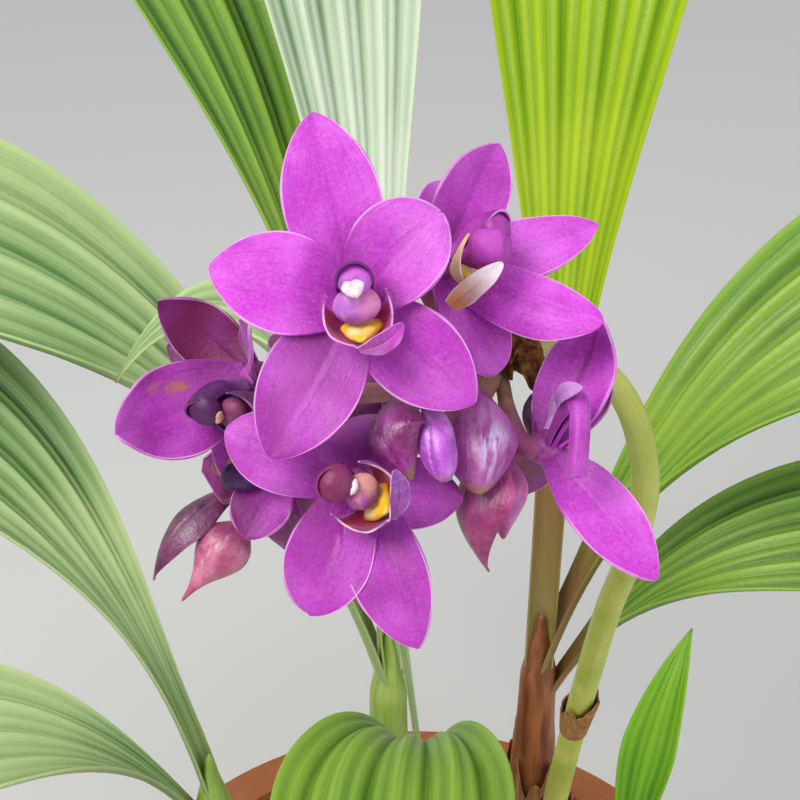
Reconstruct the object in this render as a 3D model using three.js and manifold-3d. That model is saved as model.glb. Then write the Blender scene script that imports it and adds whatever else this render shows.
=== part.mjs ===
// A potted Philippine ground orchid: a clay pot of bark mix, five leafy shoots with pleated leaves,
// and one leaning flower stem that hooks over at its top and carries seven blooms and four buds.
// Units are millimetres, +Z is up, and the origin is the middle of the pot's underside.
import * as THREE from "three";
import { mergeVertices } from "three/addons/utils/BufferGeometryUtils.js";
import Module from "manifold-3d";

const wasm = await Module();
wasm.setup();

// Driving dimensions
const SEAT_GAP = 0.35; // air left between two pieces that touch on the real plant
const TEPAL_THICKNESS = 0.7;
const LEAF_THICKNESS = 0.9;
const POT = { height: 150, topRadius: 88, baseRadius: 62, wall: 6, edge: 1.5, sides: 28 };
const RIM = { height: 26, step: 5 };
const DRAIN = { count: 5, radius: 5, circle: 38 };
const SOIL_BELOW_RIM = 14;
const SOIL_TOP = POT.height - SOIL_BELOW_RIM;
const SOIL = { relief: 2.4, rings: 4, spokes: 18, seed: 7 }; // relief is how far its lumps rise and sink
const BULB = { radius: 11.5, above: 17, below: 8 }; // the swollen foot of a shoot, half sunk in the mix
const FALSE_STEM = { foot: 7, top: 4.8, tip: 0.8, tapersFrom: 0.8, sides: 8 }; // rolled leaf bases
const SHEATH = { thickness: 0.9, share: 0.58, flare: 1.2 }; // it covers that share of the false stem
const SCAPE = { footRadius: 3.1, topRadius: 2.2, tipRadius: 1.5, hookFrom: 0.82, steps: 28, sides: 7 };
const SCAPE_SHEATHS = [0.17, 0.36]; // shares along the flower stem where a sterile bract clasps it
const SCAPE_SHEATH = { length: 0.06, proud: 1.1 };
const PEDICEL = { ovary: 1.55, thin: 1.0, budFoot: 1.2, steps: 4, sides: 5 };
const HUB_RADIUS = 2.3; // the knot behind a bloom, where its tepals meet

// The head of blooms has its own frame: x to the right, y up its face, z out of its face.
const HEAD_CENTRE = [-5, -100, 406];
const HEAD_LOOKS_UP = 35; // degrees between the head's face and a level view

const vec = (x, y, z) => new THREE.Vector3(x, y, z);
const radians = THREE.MathUtils.degToRad;
const lerp = THREE.MathUtils.lerp;
const smoothstep = THREE.MathUtils.smoothstep;

// Solids and meshes

function solidFrom(positions, triangles) {
  const make = (faces) =>
    new wasm.Manifold(
      new wasm.Mesh({
        numProp: 3,
        vertProperties: new Float32Array(positions),
        triVerts: new Uint32Array(faces),
      }),
    );
  const solid = make(triangles);
  if (solid.volume() > 0) return solid;
  const turned = [];
  for (let i = 0; i < triangles.length; i += 3)
    turned.push(triangles[i], triangles[i + 2], triangles[i + 1]);
  return make(turned);
}

function solidOfGeometry(geometry, matrix = new THREE.Matrix4()) {
  const bare = geometry.clone().applyMatrix4(matrix);
  bare.deleteAttribute("normal");
  bare.deleteAttribute("uv");
  const merged = mergeVertices(bare, 1e-4);
  return solidFrom(Array.from(merged.attributes.position.array), Array.from(merged.index.array));
}

function geometryOf(solid) {
  const { vertProperties, triVerts, numProp } = solid.getMesh();
  const positions = [];
  for (const corner of triVerts) {
    const at = corner * numProp;
    positions.push(...vertProperties.subarray(at, at + 3));
  }
  const geometry = new THREE.BufferGeometry();
  geometry.setAttribute("position", new THREE.Float32BufferAttribute(positions, 3));
  geometry.computeVertexNormals();
  return geometry;
}

const join = (solids) => wasm.Manifold.union(solids);

// The biggest body of a cut solid, without the scraps that a cut leaves loose.
const largest = (solid) => solid.decompose().reduce((a, b) => (a.volume() > b.volume() ? a : b));

const materials = {
  clay: new THREE.MeshStandardMaterial({ color: 0xa85f3c, roughness: 0.9, metalness: 0 }),
  soil: new THREE.MeshStandardMaterial({ color: 0x3a2a1d, roughness: 1, metalness: 0 }),
  leaf: new THREE.MeshStandardMaterial({ color: 0x5e8f2c, roughness: 0.55, metalness: 0 }),
  sheath: new THREE.MeshStandardMaterial({ color: 0x7a4a26, roughness: 0.85, metalness: 0 }),
  stem: new THREE.MeshStandardMaterial({ color: 0x8fa53c, roughness: 0.6, metalness: 0 }),
  tepal: new THREE.MeshStandardMaterial({ color: 0xc046cc, roughness: 0.6, metalness: 0 }),
  lip: new THREE.MeshStandardMaterial({ color: 0x8c2360, roughness: 0.55, metalness: 0 }),
  column: new THREE.MeshStandardMaterial({ color: 0x8a2a86, roughness: 0.5, metalness: 0 }),
  callus: new THREE.MeshStandardMaterial({ color: 0xf2b22a, roughness: 0.6, metalness: 0 }),
  bract: new THREE.MeshStandardMaterial({ color: 0x9a3a78, roughness: 0.45, metalness: 0 }),
  withered: new THREE.MeshStandardMaterial({ color: 0x6b4020, roughness: 0.9, metalness: 0 }),
};

function piece(name, solid, material) {
  const mesh = new THREE.Mesh(geometryOf(solid), material);
  mesh.name = name;
  return mesh;
}

// Blades and round lofts

// A thin closed blade over surface(along, across), which gives a point and the way it faces.
function bladeSolid(surface, rows, columns, thickness) {
  const positions = [];
  const triangles = [];
  const width = columns + 1;
  const layer = rows.length * width;
  for (const side of [0.5, -0.5])
    for (const along of rows)
      for (let j = 0; j <= columns; j++) {
        const { point, normal } = surface(along, (2 * j) / columns - 1);
        positions.push(...point.addScaledVector(normal, side * thickness).toArray());
      }
  const quad = (a, b, c, d) => triangles.push(a, b, c, a, c, d);
  for (let i = 0; i < rows.length - 1; i++)
    for (let j = 0; j < columns; j++) {
      const a = i * width + j;
      quad(a, a + 1, a + width + 1, a + width);
      triangles.push(layer + a, layer + a + width + 1, layer + a + 1);
      triangles.push(layer + a, layer + a + width, layer + a + width + 1);
    }
  for (let i = 0; i < rows.length - 1; i++) {
    const left = i * width;
    const right = left + columns;
    quad(left + width, layer + left + width, layer + left, left);
    quad(right, layer + right, layer + right + width, right + width);
  }
  const last = (rows.length - 1) * width;
  for (let j = 0; j < columns; j++) {
    quad(j, layer + j, layer + j + 1, j + 1);
    quad(last + j + 1, layer + last + j + 1, layer + last + j, last + j);
  }
  return solidFrom(positions, triangles);
}

// A closed round body through stations of { centre, side, up, halfWidth, halfHeight }.
function loftSolid(stations, sides) {
  const positions = [];
  const triangles = [];
  for (const { centre, side, up, halfWidth, halfHeight } of stations)
    for (let k = 0; k < sides; k++) {
      const angle = (2 * Math.PI * k) / sides;
      const corner = centre
        .clone()
        .addScaledVector(side, halfWidth * Math.cos(angle))
        .addScaledVector(up, halfHeight * Math.sin(angle));
      positions.push(...corner.toArray());
    }
  for (let i = 0; i < stations.length - 1; i++)
    for (let k = 0; k < sides; k++) {
      const a = i * sides + k;
      const b = i * sides + ((k + 1) % sides);
      triangles.push(a, b, b + sides, a, b + sides, a + sides);
    }
  const foot = positions.length / 3;
  positions.push(...stations[0].centre.toArray(), ...stations[stations.length - 1].centre.toArray());
  const last = (stations.length - 1) * sides;
  for (let k = 0; k < sides; k++) {
    const next = (k + 1) % sides;
    triangles.push(foot, next, k, foot + 1, last + k, last + next);
  }
  return solidFrom(positions, triangles);
}

// A round stalk along a curve, with its radius given at each share of its length.
function stalkSolid(curve, radiusAt, steps, sides) {
  const { tangents, normals, binormals } = curve.computeFrenetFrames(steps);
  const stations = tangents.map((_, i) => {
    const radius = radiusAt(i / steps);
    const centre = curve.getPointAt(i / steps);
    return { centre, side: normals[i], up: binormals[i], halfWidth: radius, halfHeight: radius };
  });
  return loftSolid(stations, sides);
}

// Tepals, bracts and buds

const TEPAL_ROWS = [0, 0.24, 0.48, 0.7, 0.88, 1];

// Half-width share along a tepal: a narrow foot, its widest at peak, and a tip that a small blunt rounds.
function tepalOutline(along, { foot = 0.42, peak = 0.5, blunt = 0.75, end = 0.07 }) {
  if (along < peak) return lerp(foot, 1, Math.sin((Math.PI / 2) * (along / peak)));
  return Math.max(end, (1 - ((along - peak) / (1 - peak)) ** 2) ** blunt);
}

// The middle surface of a blade from base to tip. arch lifts its middle towards facing, curl drops its
// tip away from it, bow bends it sideways, roll turns it about its length, and wrap is the half-angle of
// its cupped section: above 0 its edges rise towards facing, and below 0 they fall away.
function tepalSurface(shape) {
  const { base, tip, facing, width, arch = 1, curl = 0, bow = 0, wrap = 0.35, roll = 0 } = shape;
  const direction = tip.clone().sub(base).normalize();
  const side = direction.clone().cross(facing).normalize().applyAxisAngle(direction, radians(roll));
  const out = side.clone().cross(direction).normalize();
  const middle = base.clone().lerp(tip, 0.5);
  middle.addScaledVector(out, 2 * arch).addScaledVector(side, 2 * bow);
  const end = tip.clone().addScaledVector(out, -curl);
  const spine = new THREE.QuadraticBezierCurve3(base, middle, end);
  return (along, across) => {
    const normalUp = side.clone().cross(spine.getTangent(along)).normalize();
    const angle = across * wrap;
    const radius = (width / 2) * (tepalOutline(along, shape) / wrap);
    const point = spine
      .getPoint(along)
      .addScaledVector(side, radius * Math.sin(angle))
      .addScaledVector(normalUp, radius * (1 - Math.cos(angle)));
    const normal = normalUp.multiplyScalar(Math.cos(angle)).addScaledVector(side, -Math.sin(angle));
    return { point, normal };
  };
}

const tepalSolid = (shape) =>
  bladeSolid(tepalSurface(shape), shape.rows ?? TEPAL_ROWS, shape.columns ?? 4, TEPAL_THICKNESS);

// A closed bud: a spindle from base to tip, with a pointed or a blunt end.
const POINTED_BUD = [0.3, 0.72, 0.98, 0.96, 0.7, 0.36, 0.1];
const BLUNT_BUD = [0.34, 0.78, 0.98, 1, 0.94, 0.72, 0.24];
function budSolid(base, tip, radius, outline) {
  const direction = tip.clone().sub(base).normalize();
  const side = direction.clone().cross(vec(0, 0, 1)).normalize();
  const up = side.clone().cross(direction);
  const stations = outline.map((share, i) => ({
    centre: base.clone().lerp(tip, i / (outline.length - 1)),
    side,
    up,
    halfWidth: radius * share,
    halfHeight: radius * share * 0.92,
  }));
  return loftSolid(stations, 7);
}

// A tepal that the blooms before it hide is built with fewer faces.
const HIDDEN_TEPAL = { arch: 1, wrap: 0.3, columns: 2, rows: [0, 0.4, 0.8, 1] };

// Blooms, in the head's frame. centre is where the tepals meet, facing is the way the throat looks,
// up is the way its top sepal stands, joins is where its stalk meets the flower stem, and each tepal is
// [tip from the centre, width, and what differs from a plain gently arched blade].
const BLOOMS = [
  {
    name: "bloom_front",
    centre: [-5.3, 11.5, 8],
    facing: [0.04, 0.02, 1],
    up: [-0.12, 1, 0],
    joins: [13.6, 4.9, -15.6],
    tepals: [
      [[-5, 22, 2], 11.9, { arch: 1.2, wrap: 0.3, foot: 0.5 }],
      [[-16.8, 3.9, 3], 12.2, { arch: 1.2, wrap: 0.3, roll: 4, foot: 0.5 }],
      [[10, 10.2, 4.2], 12.2, { arch: 1.6, wrap: 0.4, roll: -10, peak: 0.58, blunt: 0.6 }],
      [[-9.8, -18.2, 2.6], 12, { arch: 1, wrap: 0.25, blunt: 0.7 }],
      [[14, -11.9, 2.4], 11, { arch: 1, wrap: 0.3, roll: 6 }],
    ],
  },
  {
    name: "bloom_upper_right",
    centre: [5.1, 17.2, -3.5],
    facing: [0.75, 0.22, 0.63],
    up: [0.26, 1, 0],
    joins: [19, 7.2, -22.4],
    tepals: [
      [[7.2, 14.7, 1.5], 9.8, { arch: -0.4, wrap: 0.4, curl: 0.5 }],
      [[1.2, 10.6, -5], 9.5, { arch: 0.2, wrap: 0.3, blunt: 0.55, columns: 2 }],
      [[20, 5, -2.5], 8.2, { arch: -1, bow: 0.8, wrap: 0.4, roll: -12 }],
      [[19.6, -7.8, 4.5], 8.4, { arch: -1, bow: 0.6, wrap: -0.45, roll: 8, blunt: 0.6 }],
      [[7.1, -13.9, -2], 9.6, { arch: 0.6, wrap: 0.3, blunt: 0.55 }],
    ],
  },
  {
    name: "bloom_left",
    centre: [-18.4, 2.8, -8],
    facing: [-0.5, -0.57, 0.65],
    up: [-0.8, 0.5, 0],
    joins: [12.4, 3.6, -13.8],
    via: [14, -1.9, -3.7],
    tepals: [
      [[-12.4, 9.8, 1], 8.4, { facing: [-0.45, 0.15, 0.66], arch: -2, wrap: 0.4, roll: 10 }],
      [[-12.1, 4.3, -5.4], 8.4, { facing: [-0.45, 0.15, 0.66], arch: -1, wrap: 0.4 }],
      [[-16.7, -7.1, 8], 12.6, { facing: [-0.3, -0.1, 0.8], arch: -3, wrap: 0.35 }],
      [[0.1, 6.7, 10], 7, { arch: 0.4, wrap: 0.3, facing: [-0.95, -0.3, 0] }],
      [[4, -2, -14], 9, HIDDEN_TEPAL],
    ],
  },
  {
    name: "bloom_lower",
    centre: [-5.3, -10.4, 3],
    facing: [-0.08, -0.02, 1],
    up: [-0.88, 0.46, 0],
    joins: [10.2, -0.2, -9.8],
    tepals: [
      [[-15.6, 6.8, 1], 9.8, { arch: 1.6, wrap: -0.5, roll: 4, peak: 0.6, blunt: 0.6 }],
      [[3.6, 8.2, -9], 11.5, { arch: 2, wrap: -0.6, foot: 0.6 }],
      [[-5.6, -15.1, 3], 10.6, { arch: 1.2, wrap: 0.25, foot: 0.5, peak: 0.58, blunt: 0.6 }],
      [[7.5, -19.1, 4], 9.6, { arch: 1.2, wrap: 0.3, foot: 0.5 }],
      [[12.9, -1.8, -2.4], 9, { arch: 1, wrap: -0.4, roll: -10 }],
    ],
  },
  {
    name: "bloom_right",
    centre: [18.5, -6.1, -8],
    facing: [0.31, 0.74, -0.6],
    up: [0, -0.1, 1],
    joins: [13.2, 3.6, -14.8],
    via: [-3.2, 0.6, 0.6],
    tepals: [
      [[7.2, 16.4, 1], 10.8, { facing: [-0.11, 0.48, 0.58], arch: -1, wrap: 0.4, roll: -4 }],
      [[13.3, -16.3, 6], 8.8, { facing: [-0.11, 0.48, 0.58], arch: 1, wrap: 0.35, roll: 6, foot: 0.35 }],
      [[3.2, -3.2, 11.5], 7, { facing: [0.24, 0.93, 0.33], arch: 9.2, wrap: -2.1, foot: 0.4, end: 0.85 }],
      [[8, 11, -11], 9.4, HIDDEN_TEPAL],
      [[-5, -8, -15], 9, HIDDEN_TEPAL],
    ],
  },
  {
    name: "bloom_lower_left",
    centre: [-16.2, -10.6, -16],
    facing: [-0.93, 0.12, 0.3],
    up: [0, -0.1, 1],
    joins: [10.8, 1, -11.6],
    tepals: [
      [[-4, -7.6, 3], 8.4, { facing: [-0.2, 0.1, 0.95], arch: 0.6, wrap: 0.4, foot: 0.6 }],
      [[-8.5, 6.9, 0], 9.4, { facing: [-0.3, 0.1, 0.9], arch: -1.5, wrap: 0.3 }],
      [[4, -12, -8], 8.6, HIDDEN_TEPAL],
      [[7.5, 5, -3], 8.6, HIDDEN_TEPAL],
      [[9, -3, -10], 8.6, HIDDEN_TEPAL],
    ],
  },
  {
    name: "bloom_back",
    centre: [-7, 4.6, -21],
    facing: [-0.2, 0.92, -0.25],
    up: [0, 0.25, 1],
    joins: [16.6, 6.4, -19.8],
    via: [5, -2.4, -1],
    tepals: [
      [[-11, 4, -5], 9.6, HIDDEN_TEPAL],
      [[9, -1.8, 4.4], 9.6, HIDDEN_TEPAL],
      [[0.6, -12, 7.6], 10, HIDDEN_TEPAL],
      [[8, 8, -11], 9.4, HIDDEN_TEPAL],
      [[-6, 0.5, -15], 9.6, HIDDEN_TEPAL],
    ],
  },
];

// Each bud has its base, tip and radius, the point that its stalk passes, and where the stalk joins
// the flower stem.
const HEAD_BUDS = [
  {
    name: "bud_left",
    base: [3.5, -0.8, 5],
    tip: [5.5, -9.8, 7.6],
    radius: 2.3,
    outline: BLUNT_BUD,
    via: [4, 2, -1.5],
    joins: [10, 0.2, -9.4],
  },
  {
    name: "bud_middle",
    base: [9.6, -1.6, -1.6],
    tip: [9.6, -9.4, 1],
    radius: 3,
    via: [9.2, -1, -4.4],
    joins: [9, -2.8, -6.4],
  },
  {
    name: "bud_lower",
    base: [13.2, -7.4, -6],
    tip: [13, -17.6, -5.2],
    radius: 3.2,
    via: [12.6, -4.6, -7.4],
    joins: [9.2, -2.4, -6.8],
  },
  {
    name: "bud_far_left",
    base: [-21.4, -17.2, -20],
    tip: [-29.2, -26.9, -19],
    radius: 3.5,
    via: [-15, -6, -28],
    joins: [12.6, 2, -15.4],
  },
];

// Each bract is a hooded blade round its bud; faces is the way its hollow looks.
const HEAD_BRACTS = [
  {
    name: "bract_left",
    base: [-0.2, 0.4, 2.5],
    tip: [1.4, -9.4, 6.5],
    faces: [0.77, 0, -0.64],
    form: { width: 13, wrap: 1.3, arch: -4.2 },
  },
  {
    name: "bract_middle",
    base: [9.6, 1.1, -2.4],
    tip: [9.6, -11.3, 3.4],
    faces: [0, -0.3, -1],
    form: { width: 13, wrap: 1.3, arch: -3.2, blunt: 0.5, foot: 0.36 },
  },
  {
    name: "bract_lower",
    base: [11, -6, -3.8],
    tip: [11.1, -21.3, -2.5],
    faces: [0.8, 0, -0.6],
    form: { width: 12.6, wrap: 1.08, arch: -3.6 },
  },
  {
    name: "bract_far_left",
    base: [-23.6, -12.4, -21.5],
    tip: [-33.2, -24.3, -19.5],
    faces: [0.55, -0.45, -0.7],
    form: { width: 9, wrap: 0.8, arch: -2.8 },
  },
];

// The dried remains of an early bloom hang where the flower stem bends down.
const WITHERED = [
  // x, y, z, half-width, half-height
  [14.8, 10.2, -14.2, 0.6, 0.6],
  [14, 9.2, -12.8, 1.8, 1.3],
  [15.2, 7.2, -12.2, 2.6, 1.6],
  [16.8, 5.4, -14.2, 1.9, 1.6],
  [18, 4.2, -15.6, 0.8, 0.9],
];

// The flower stem: up from the mix, leaning to the front, over in a hook, and down to the buds.
const SCAPE_FOOT = [27, 4, SOIL_TOP - 30];
const SCAPE_LOW = [29, -8, SOIL_TOP + 70];
const SCAPE_HEAD_POINTS = [
  [36.6, -39, -90],
  [37.4, -24, -62],
  [36.9, -10.5, -45],
  [32.4, 0.6, -36],
  [23.6, 7.4, -27.5],
  [15.6, 6, -18.6],
  [11.2, 1.9, -12.4],
  [8.8, -3.2, -5.8],
];

const headUp = radians(90 - HEAD_LOOKS_UP);
const headMatrix = new THREE.Matrix4().makeRotationX(headUp).setPosition(...HEAD_CENTRE);
const toHead = (point) => vec(...point).applyMatrix4(headMatrix.clone().invert());

const scapePoints = SCAPE_HEAD_POINTS.map((point) => vec(...point));
scapePoints.unshift(toHead(SCAPE_FOOT), toHead(SCAPE_LOW));
const scapeCurve = new THREE.CatmullRomCurve3(scapePoints, false, "centripetal");
const scapeRadius = (share) =>
  share < SCAPE.hookFrom
    ? lerp(SCAPE.footRadius, SCAPE.topRadius, share / SCAPE.hookFrom)
    : lerp(SCAPE.topRadius, SCAPE.tipRadius, (share - SCAPE.hookFrom) / (1 - SCAPE.hookFrom));

const bareScape = (extra) =>
  stalkSolid(scapeCurve, (share) => scapeRadius(share) + extra, SCAPE.steps, SCAPE.sides);
const scapeClearance = bareScape(SEAT_GAP);

// A clasping bract on the flower stem: a short sleeve that opens a little towards its top.
function scapeSheathSolid(share) {
  const upTo = share + SCAPE_SHEATH.length;
  const curve = new THREE.LineCurve3(scapeCurve.getPointAt(share), scapeCurve.getPointAt(upTo));
  const radius = (along) => scapeRadius(share) + SCAPE_SHEATH.proud * lerp(0.3, 1, along);
  return stalkSolid(curve, radius, 2, SCAPE.sides);
}

const scapeSolid = () => join([bareScape(0), ...SCAPE_SHEATHS.map(scapeSheathSolid)]);

// A flower stalk from the back of a bloom or bud to the flower stem.
function pedicelSolid(from, backwards, via, joins, thick) {
  const reach = from.distanceTo(joins);
  const passes = via ?? from.clone().addScaledVector(backwards, reach * 0.3).lerp(joins, 0.25);
  const curve = new THREE.CatmullRomCurve3([from, passes, joins]);
  const radius = (share) => lerp(thick, PEDICEL.thin, smoothstep(share, 0.3, 0.75));
  return stalkSolid(curve, radius, PEDICEL.steps, PEDICEL.sides);
}

function throatFrame({ facing, up }) {
  const z = vec(...facing).normalize();
  const y = vec(...up).addScaledVector(z, -vec(...up).dot(z)).normalize();
  return new THREE.Matrix4().makeBasis(y.clone().cross(z), y, z);
}

function bloomTepals({ centre, facing, up, tepals, via, joins }) {
  const ways = vec(...facing).normalize();
  const looks = ways.clone().lerp(vec(0, 0, 1), 0.5);
  const parts = tepals.map(([tip, width, shape]) => {
    const faces = shape.facing ? vec(...shape.facing) : looks;
    return tepalSolid({ ...shape, base: vec(0, 0, 0), tip: vec(...tip), width, facing: faces });
  });
  const hub = new THREE.SphereGeometry(HUB_RADIUS, 6, 4).translate(0, 0, -0.3);
  const joint = vec(...joins).sub(vec(...centre));
  parts.push(solidOfGeometry(hub));
  parts.push(pedicelSolid(vec(0, 0, 0), ways.clone().negate(), via && vec(...via), joint, PEDICEL.ovary));
  const turned = throatFrame({ facing, up }).elements;
  const clearance = scapeClearance.translate(centre.map((value) => -value));
  return largest(join(parts).subtract(clearance).subtract(throatClearance.transform(turned)));
}

// The throat, in its own frame: x across, y towards the top sepal, z out of the bloom.
const COLUMN_STATIONS = [
  // y, z, half-width, half-height
  [0.3, 2.3, 1.0, 0.9],
  [1.1, 4.7, 1.15, 1.0],
  [1.9, 6.6, 2.1, 1.65],
  [2.1, 8.4, 2.3, 1.9],
  [1.8, 9.6, 1.3, 1.1],
];
const ANTHER = { centre: [0, 0.9, 9.3], radius: 1.15 };
function columnSolid(extra = 0) {
  const stations = COLUMN_STATIONS.map(([y, z, halfWidth, halfHeight]) => ({
    centre: vec(0, y, z),
    side: vec(1, 0, 0),
    up: vec(0, 1, 0),
    halfWidth: halfWidth + extra,
    halfHeight: halfHeight + extra,
  }));
  const anther = new THREE.IcosahedronGeometry(ANTHER.radius + extra, 0).translate(...ANTHER.centre);
  return join([loftSolid(stations, 7), solidOfGeometry(anther)]);
}

// The lip: a cup with two tall side lobes that stand beside the column, and a short rounded front.
const LIP_SPINE = new THREE.QuadraticBezierCurve3(
  vec(0, -1.8, 1.9),
  vec(0, -5.6, 3.4),
  vec(0, -5.9, 9.2),
);
const LIP_FORM = [
  // along, half-arc, half-angle of the section
  [0, 1.5, 1.0],
  [0.16, 4.8, 1.6],
  [0.31, 7.8, 2.0],
  [0.46, 8.4, 2.1],
  [0.7, 5.2, 1.3],
  [1, 1, 0.4],
];
function formAt(form, along) {
  const last = form.length - 2;
  const i = Math.min(last, Math.max(0, form.findIndex((row) => row[0] > along) - 1));
  const from = form[along >= form[last][0] ? last : i];
  const to = form[form.indexOf(from) + 1];
  return from.map((value, k) => lerp(value, to[k], (along - from[0]) / (to[0] - from[0])));
}
function lipSurface(along, across) {
  const [, halfArc, wrap] = formAt(LIP_FORM, along);
  const tangent = LIP_SPINE.getTangent(along);
  const side = vec(1, 0, 0);
  const inward = tangent.clone().cross(side).normalize();
  const angle = across * wrap;
  const radius = halfArc / wrap;
  const point = LIP_SPINE.getPoint(along)
    .addScaledVector(side, radius * Math.sin(angle))
    .addScaledVector(inward, radius * (1 - Math.cos(angle)));
  const normal = inward.clone().multiplyScalar(Math.cos(angle)).addScaledVector(side, -Math.sin(angle));
  return { point, normal };
}
const LIP_ROWS = LIP_FORM.map((row) => row[0]);
const LIP_COLUMNS = 6;
const lipSolid = () => bladeSolid(lipSurface, LIP_ROWS, LIP_COLUMNS, TEPAL_THICKNESS);

// The yellow callus: a low two-lobed cushion along the floor of the lip.
const CALLUS_STATIONS = [
  // along the lip, half-width, half-height
  [0.26, 0.7, 0.4],
  [0.38, 1.7, 0.8],
  [0.6, 1.9, 0.9],
  [0.86, 0.8, 0.35],
];
function callusSolid(extra = 0) {
  const stations = CALLUS_STATIONS.map(([along, halfWidth, halfHeight]) => {
    const { point, normal } = lipSurface(along, 0);
    return {
      centre: point.addScaledVector(normal, TEPAL_THICKNESS / 2 + SEAT_GAP + halfHeight),
      side: vec(1, 0, 0),
      up: normal,
      halfWidth: halfWidth + extra,
      halfHeight: halfHeight + extra,
    };
  });
  return loftSolid(stations, 6);
}

// The room that a column, lip and callus take up, which the tepals leave clear.
const aroundLip = (along, across) => lipSurface(along, 1.06 * across);
const lipRoom = bladeSolid(aroundLip, LIP_ROWS, LIP_COLUMNS, TEPAL_THICKNESS + 2 * SEAT_GAP);
const pastFoot = LIP_SPINE.getTangent(0).multiplyScalar(-SEAT_GAP);
const throatClearance = join([
  lipRoom,
  lipRoom.translate(pastFoot.toArray()),
  columnSolid(SEAT_GAP),
  callusSolid(SEAT_GAP),
]);

function bloomGroup(bloom) {
  const group = new THREE.Group();
  group.position.set(...bloom.centre);
  group.add(piece(`${bloom.name}_tepals`, bloomTepals(bloom), materials.tepal));
  const throat = new THREE.Group();
  throat.quaternion.setFromRotationMatrix(throatFrame(bloom));
  throat.add(piece(`${bloom.name}_column`, columnSolid(), materials.column));
  throat.add(piece(`${bloom.name}_lip`, lipSolid(), materials.lip));
  throat.add(piece(`${bloom.name}_callus`, callusSolid(), materials.callus));
  group.add(throat);
  return group;
}

function budPiece({ name, base, tip, radius, outline = POINTED_BUD, via, joins }) {
  const foot = vec(...base);
  const way = vec(...tip).sub(foot).normalize();
  const root = foot.clone().addScaledVector(way, PEDICEL.budFoot);
  const stalk = pedicelSolid(root, way.clone().negate(), vec(...via), vec(...joins), PEDICEL.budFoot);
  const bud = join([budSolid(foot, vec(...tip), radius, outline), stalk]);
  return piece(name, bud.subtract(scapeClearance), materials.tepal);
}

const BRACT_FORM = { foot: 0.5, peak: 0.42, columns: 5 };
function bractPiece({ name, base, tip, faces, form }) {
  const shape = { ...BRACT_FORM, ...form, base: vec(...base), tip: vec(...tip), facing: vec(...faces) };
  return piece(name, tepalSolid(shape).subtract(scapeClearance), materials.bract);
}

function witheredPiece() {
  const stations = WITHERED.map(([x, y, z, halfWidth, halfHeight]) => ({
    centre: vec(x, y, z),
    side: vec(1, 0, 0),
    up: vec(0, 0, 1),
    halfWidth,
    halfHeight,
  }));
  return piece("withered_bloom", loftSolid(stations, 6).subtract(scapeClearance), materials.withered);
}

// Leafy shoots

const LEAF_ROWS = [0, 0.18, 0.36, 0.52, 0.68, 0.85, 1];
const LEAF = {
  neck: 0.17, // half-width share of the stalk that clasps the false stem
  neckTo: 0.1,
  widestAt: 0.56,
  point: 0.03,
  taper: 1.35,
  foldDepth: 0.038, // share of the leaf's width
  narrow: 30, // a leaf no wider than this has half the folds
  folds: 4,
};
const foldsOf = (width) => (width > LEAF.narrow ? LEAF.folds : LEAF.folds / 2);

function leafOutline(along) {
  const { neck, neckTo, widestAt, point, taper } = LEAF;
  const spread = lerp(neck, 1, smoothstep(along, neckTo, widestAt));
  const narrowing = along < widestAt ? 1 : 1 - ((along - widestAt) / (1 - widestAt)) ** taper;
  return Math.max(point, spread * narrowing);
}

// A pleated leaf from a point on the false stem. azimuth is the way it leans, seen from above, from
// +X towards +Y; reach is how far out its tip is; rise is its height, and drop is how far the tip
// hangs below that.
function leafSurface({ from, azimuth, reach, rise, drop, width, twist = 0, sway = 0 }) {
  const out = vec(Math.cos(radians(azimuth)), Math.sin(radians(azimuth)), 0);
  const sideways = vec(-out.y, out.x, 0);
  const at = (away, up, off = 0) =>
    from.clone().addScaledVector(out, away).addScaledVector(sideways, off).add(vec(0, 0, up));
  const spine = new THREE.CubicBezierCurve3(
    from,
    at(reach * 0.1, rise * 0.75),
    at(reach * 0.5, rise * 1.3, sway * 0.4),
    at(reach, rise - drop, sway),
  );
  const folds = foldsOf(width);
  return (along, across) => {
    const tangent = spine.getTangent(along);
    const turn = radians(twist) * smoothstep(along, 0.2, 0.9);
    const side = sideways.clone().negate().applyAxisAngle(tangent, turn);
    side.addScaledVector(tangent, -side.dot(tangent)).normalize();
    const up = side.clone().cross(tangent).normalize();
    const share = leafOutline(along);
    const wrap = lerp(1.25, 0.3, smoothstep(along, 0.05, 0.5));
    const angle = across * wrap;
    const radius = (width / 2) * (share / wrap);
    const depth = LEAF.foldDepth * width * share * smoothstep(along, LEAF.neckTo, 0.4);
    const fold = depth * Math.cos(across * folds * Math.PI);
    const point = spine
      .getPoint(along)
      .addScaledVector(side, radius * Math.sin(angle))
      .addScaledVector(up, radius * (1 - Math.cos(angle)) + fold);
    return { point, normal: up.multiplyScalar(Math.cos(angle)).addScaledVector(side, -Math.sin(angle)) };
  };
}

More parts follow.
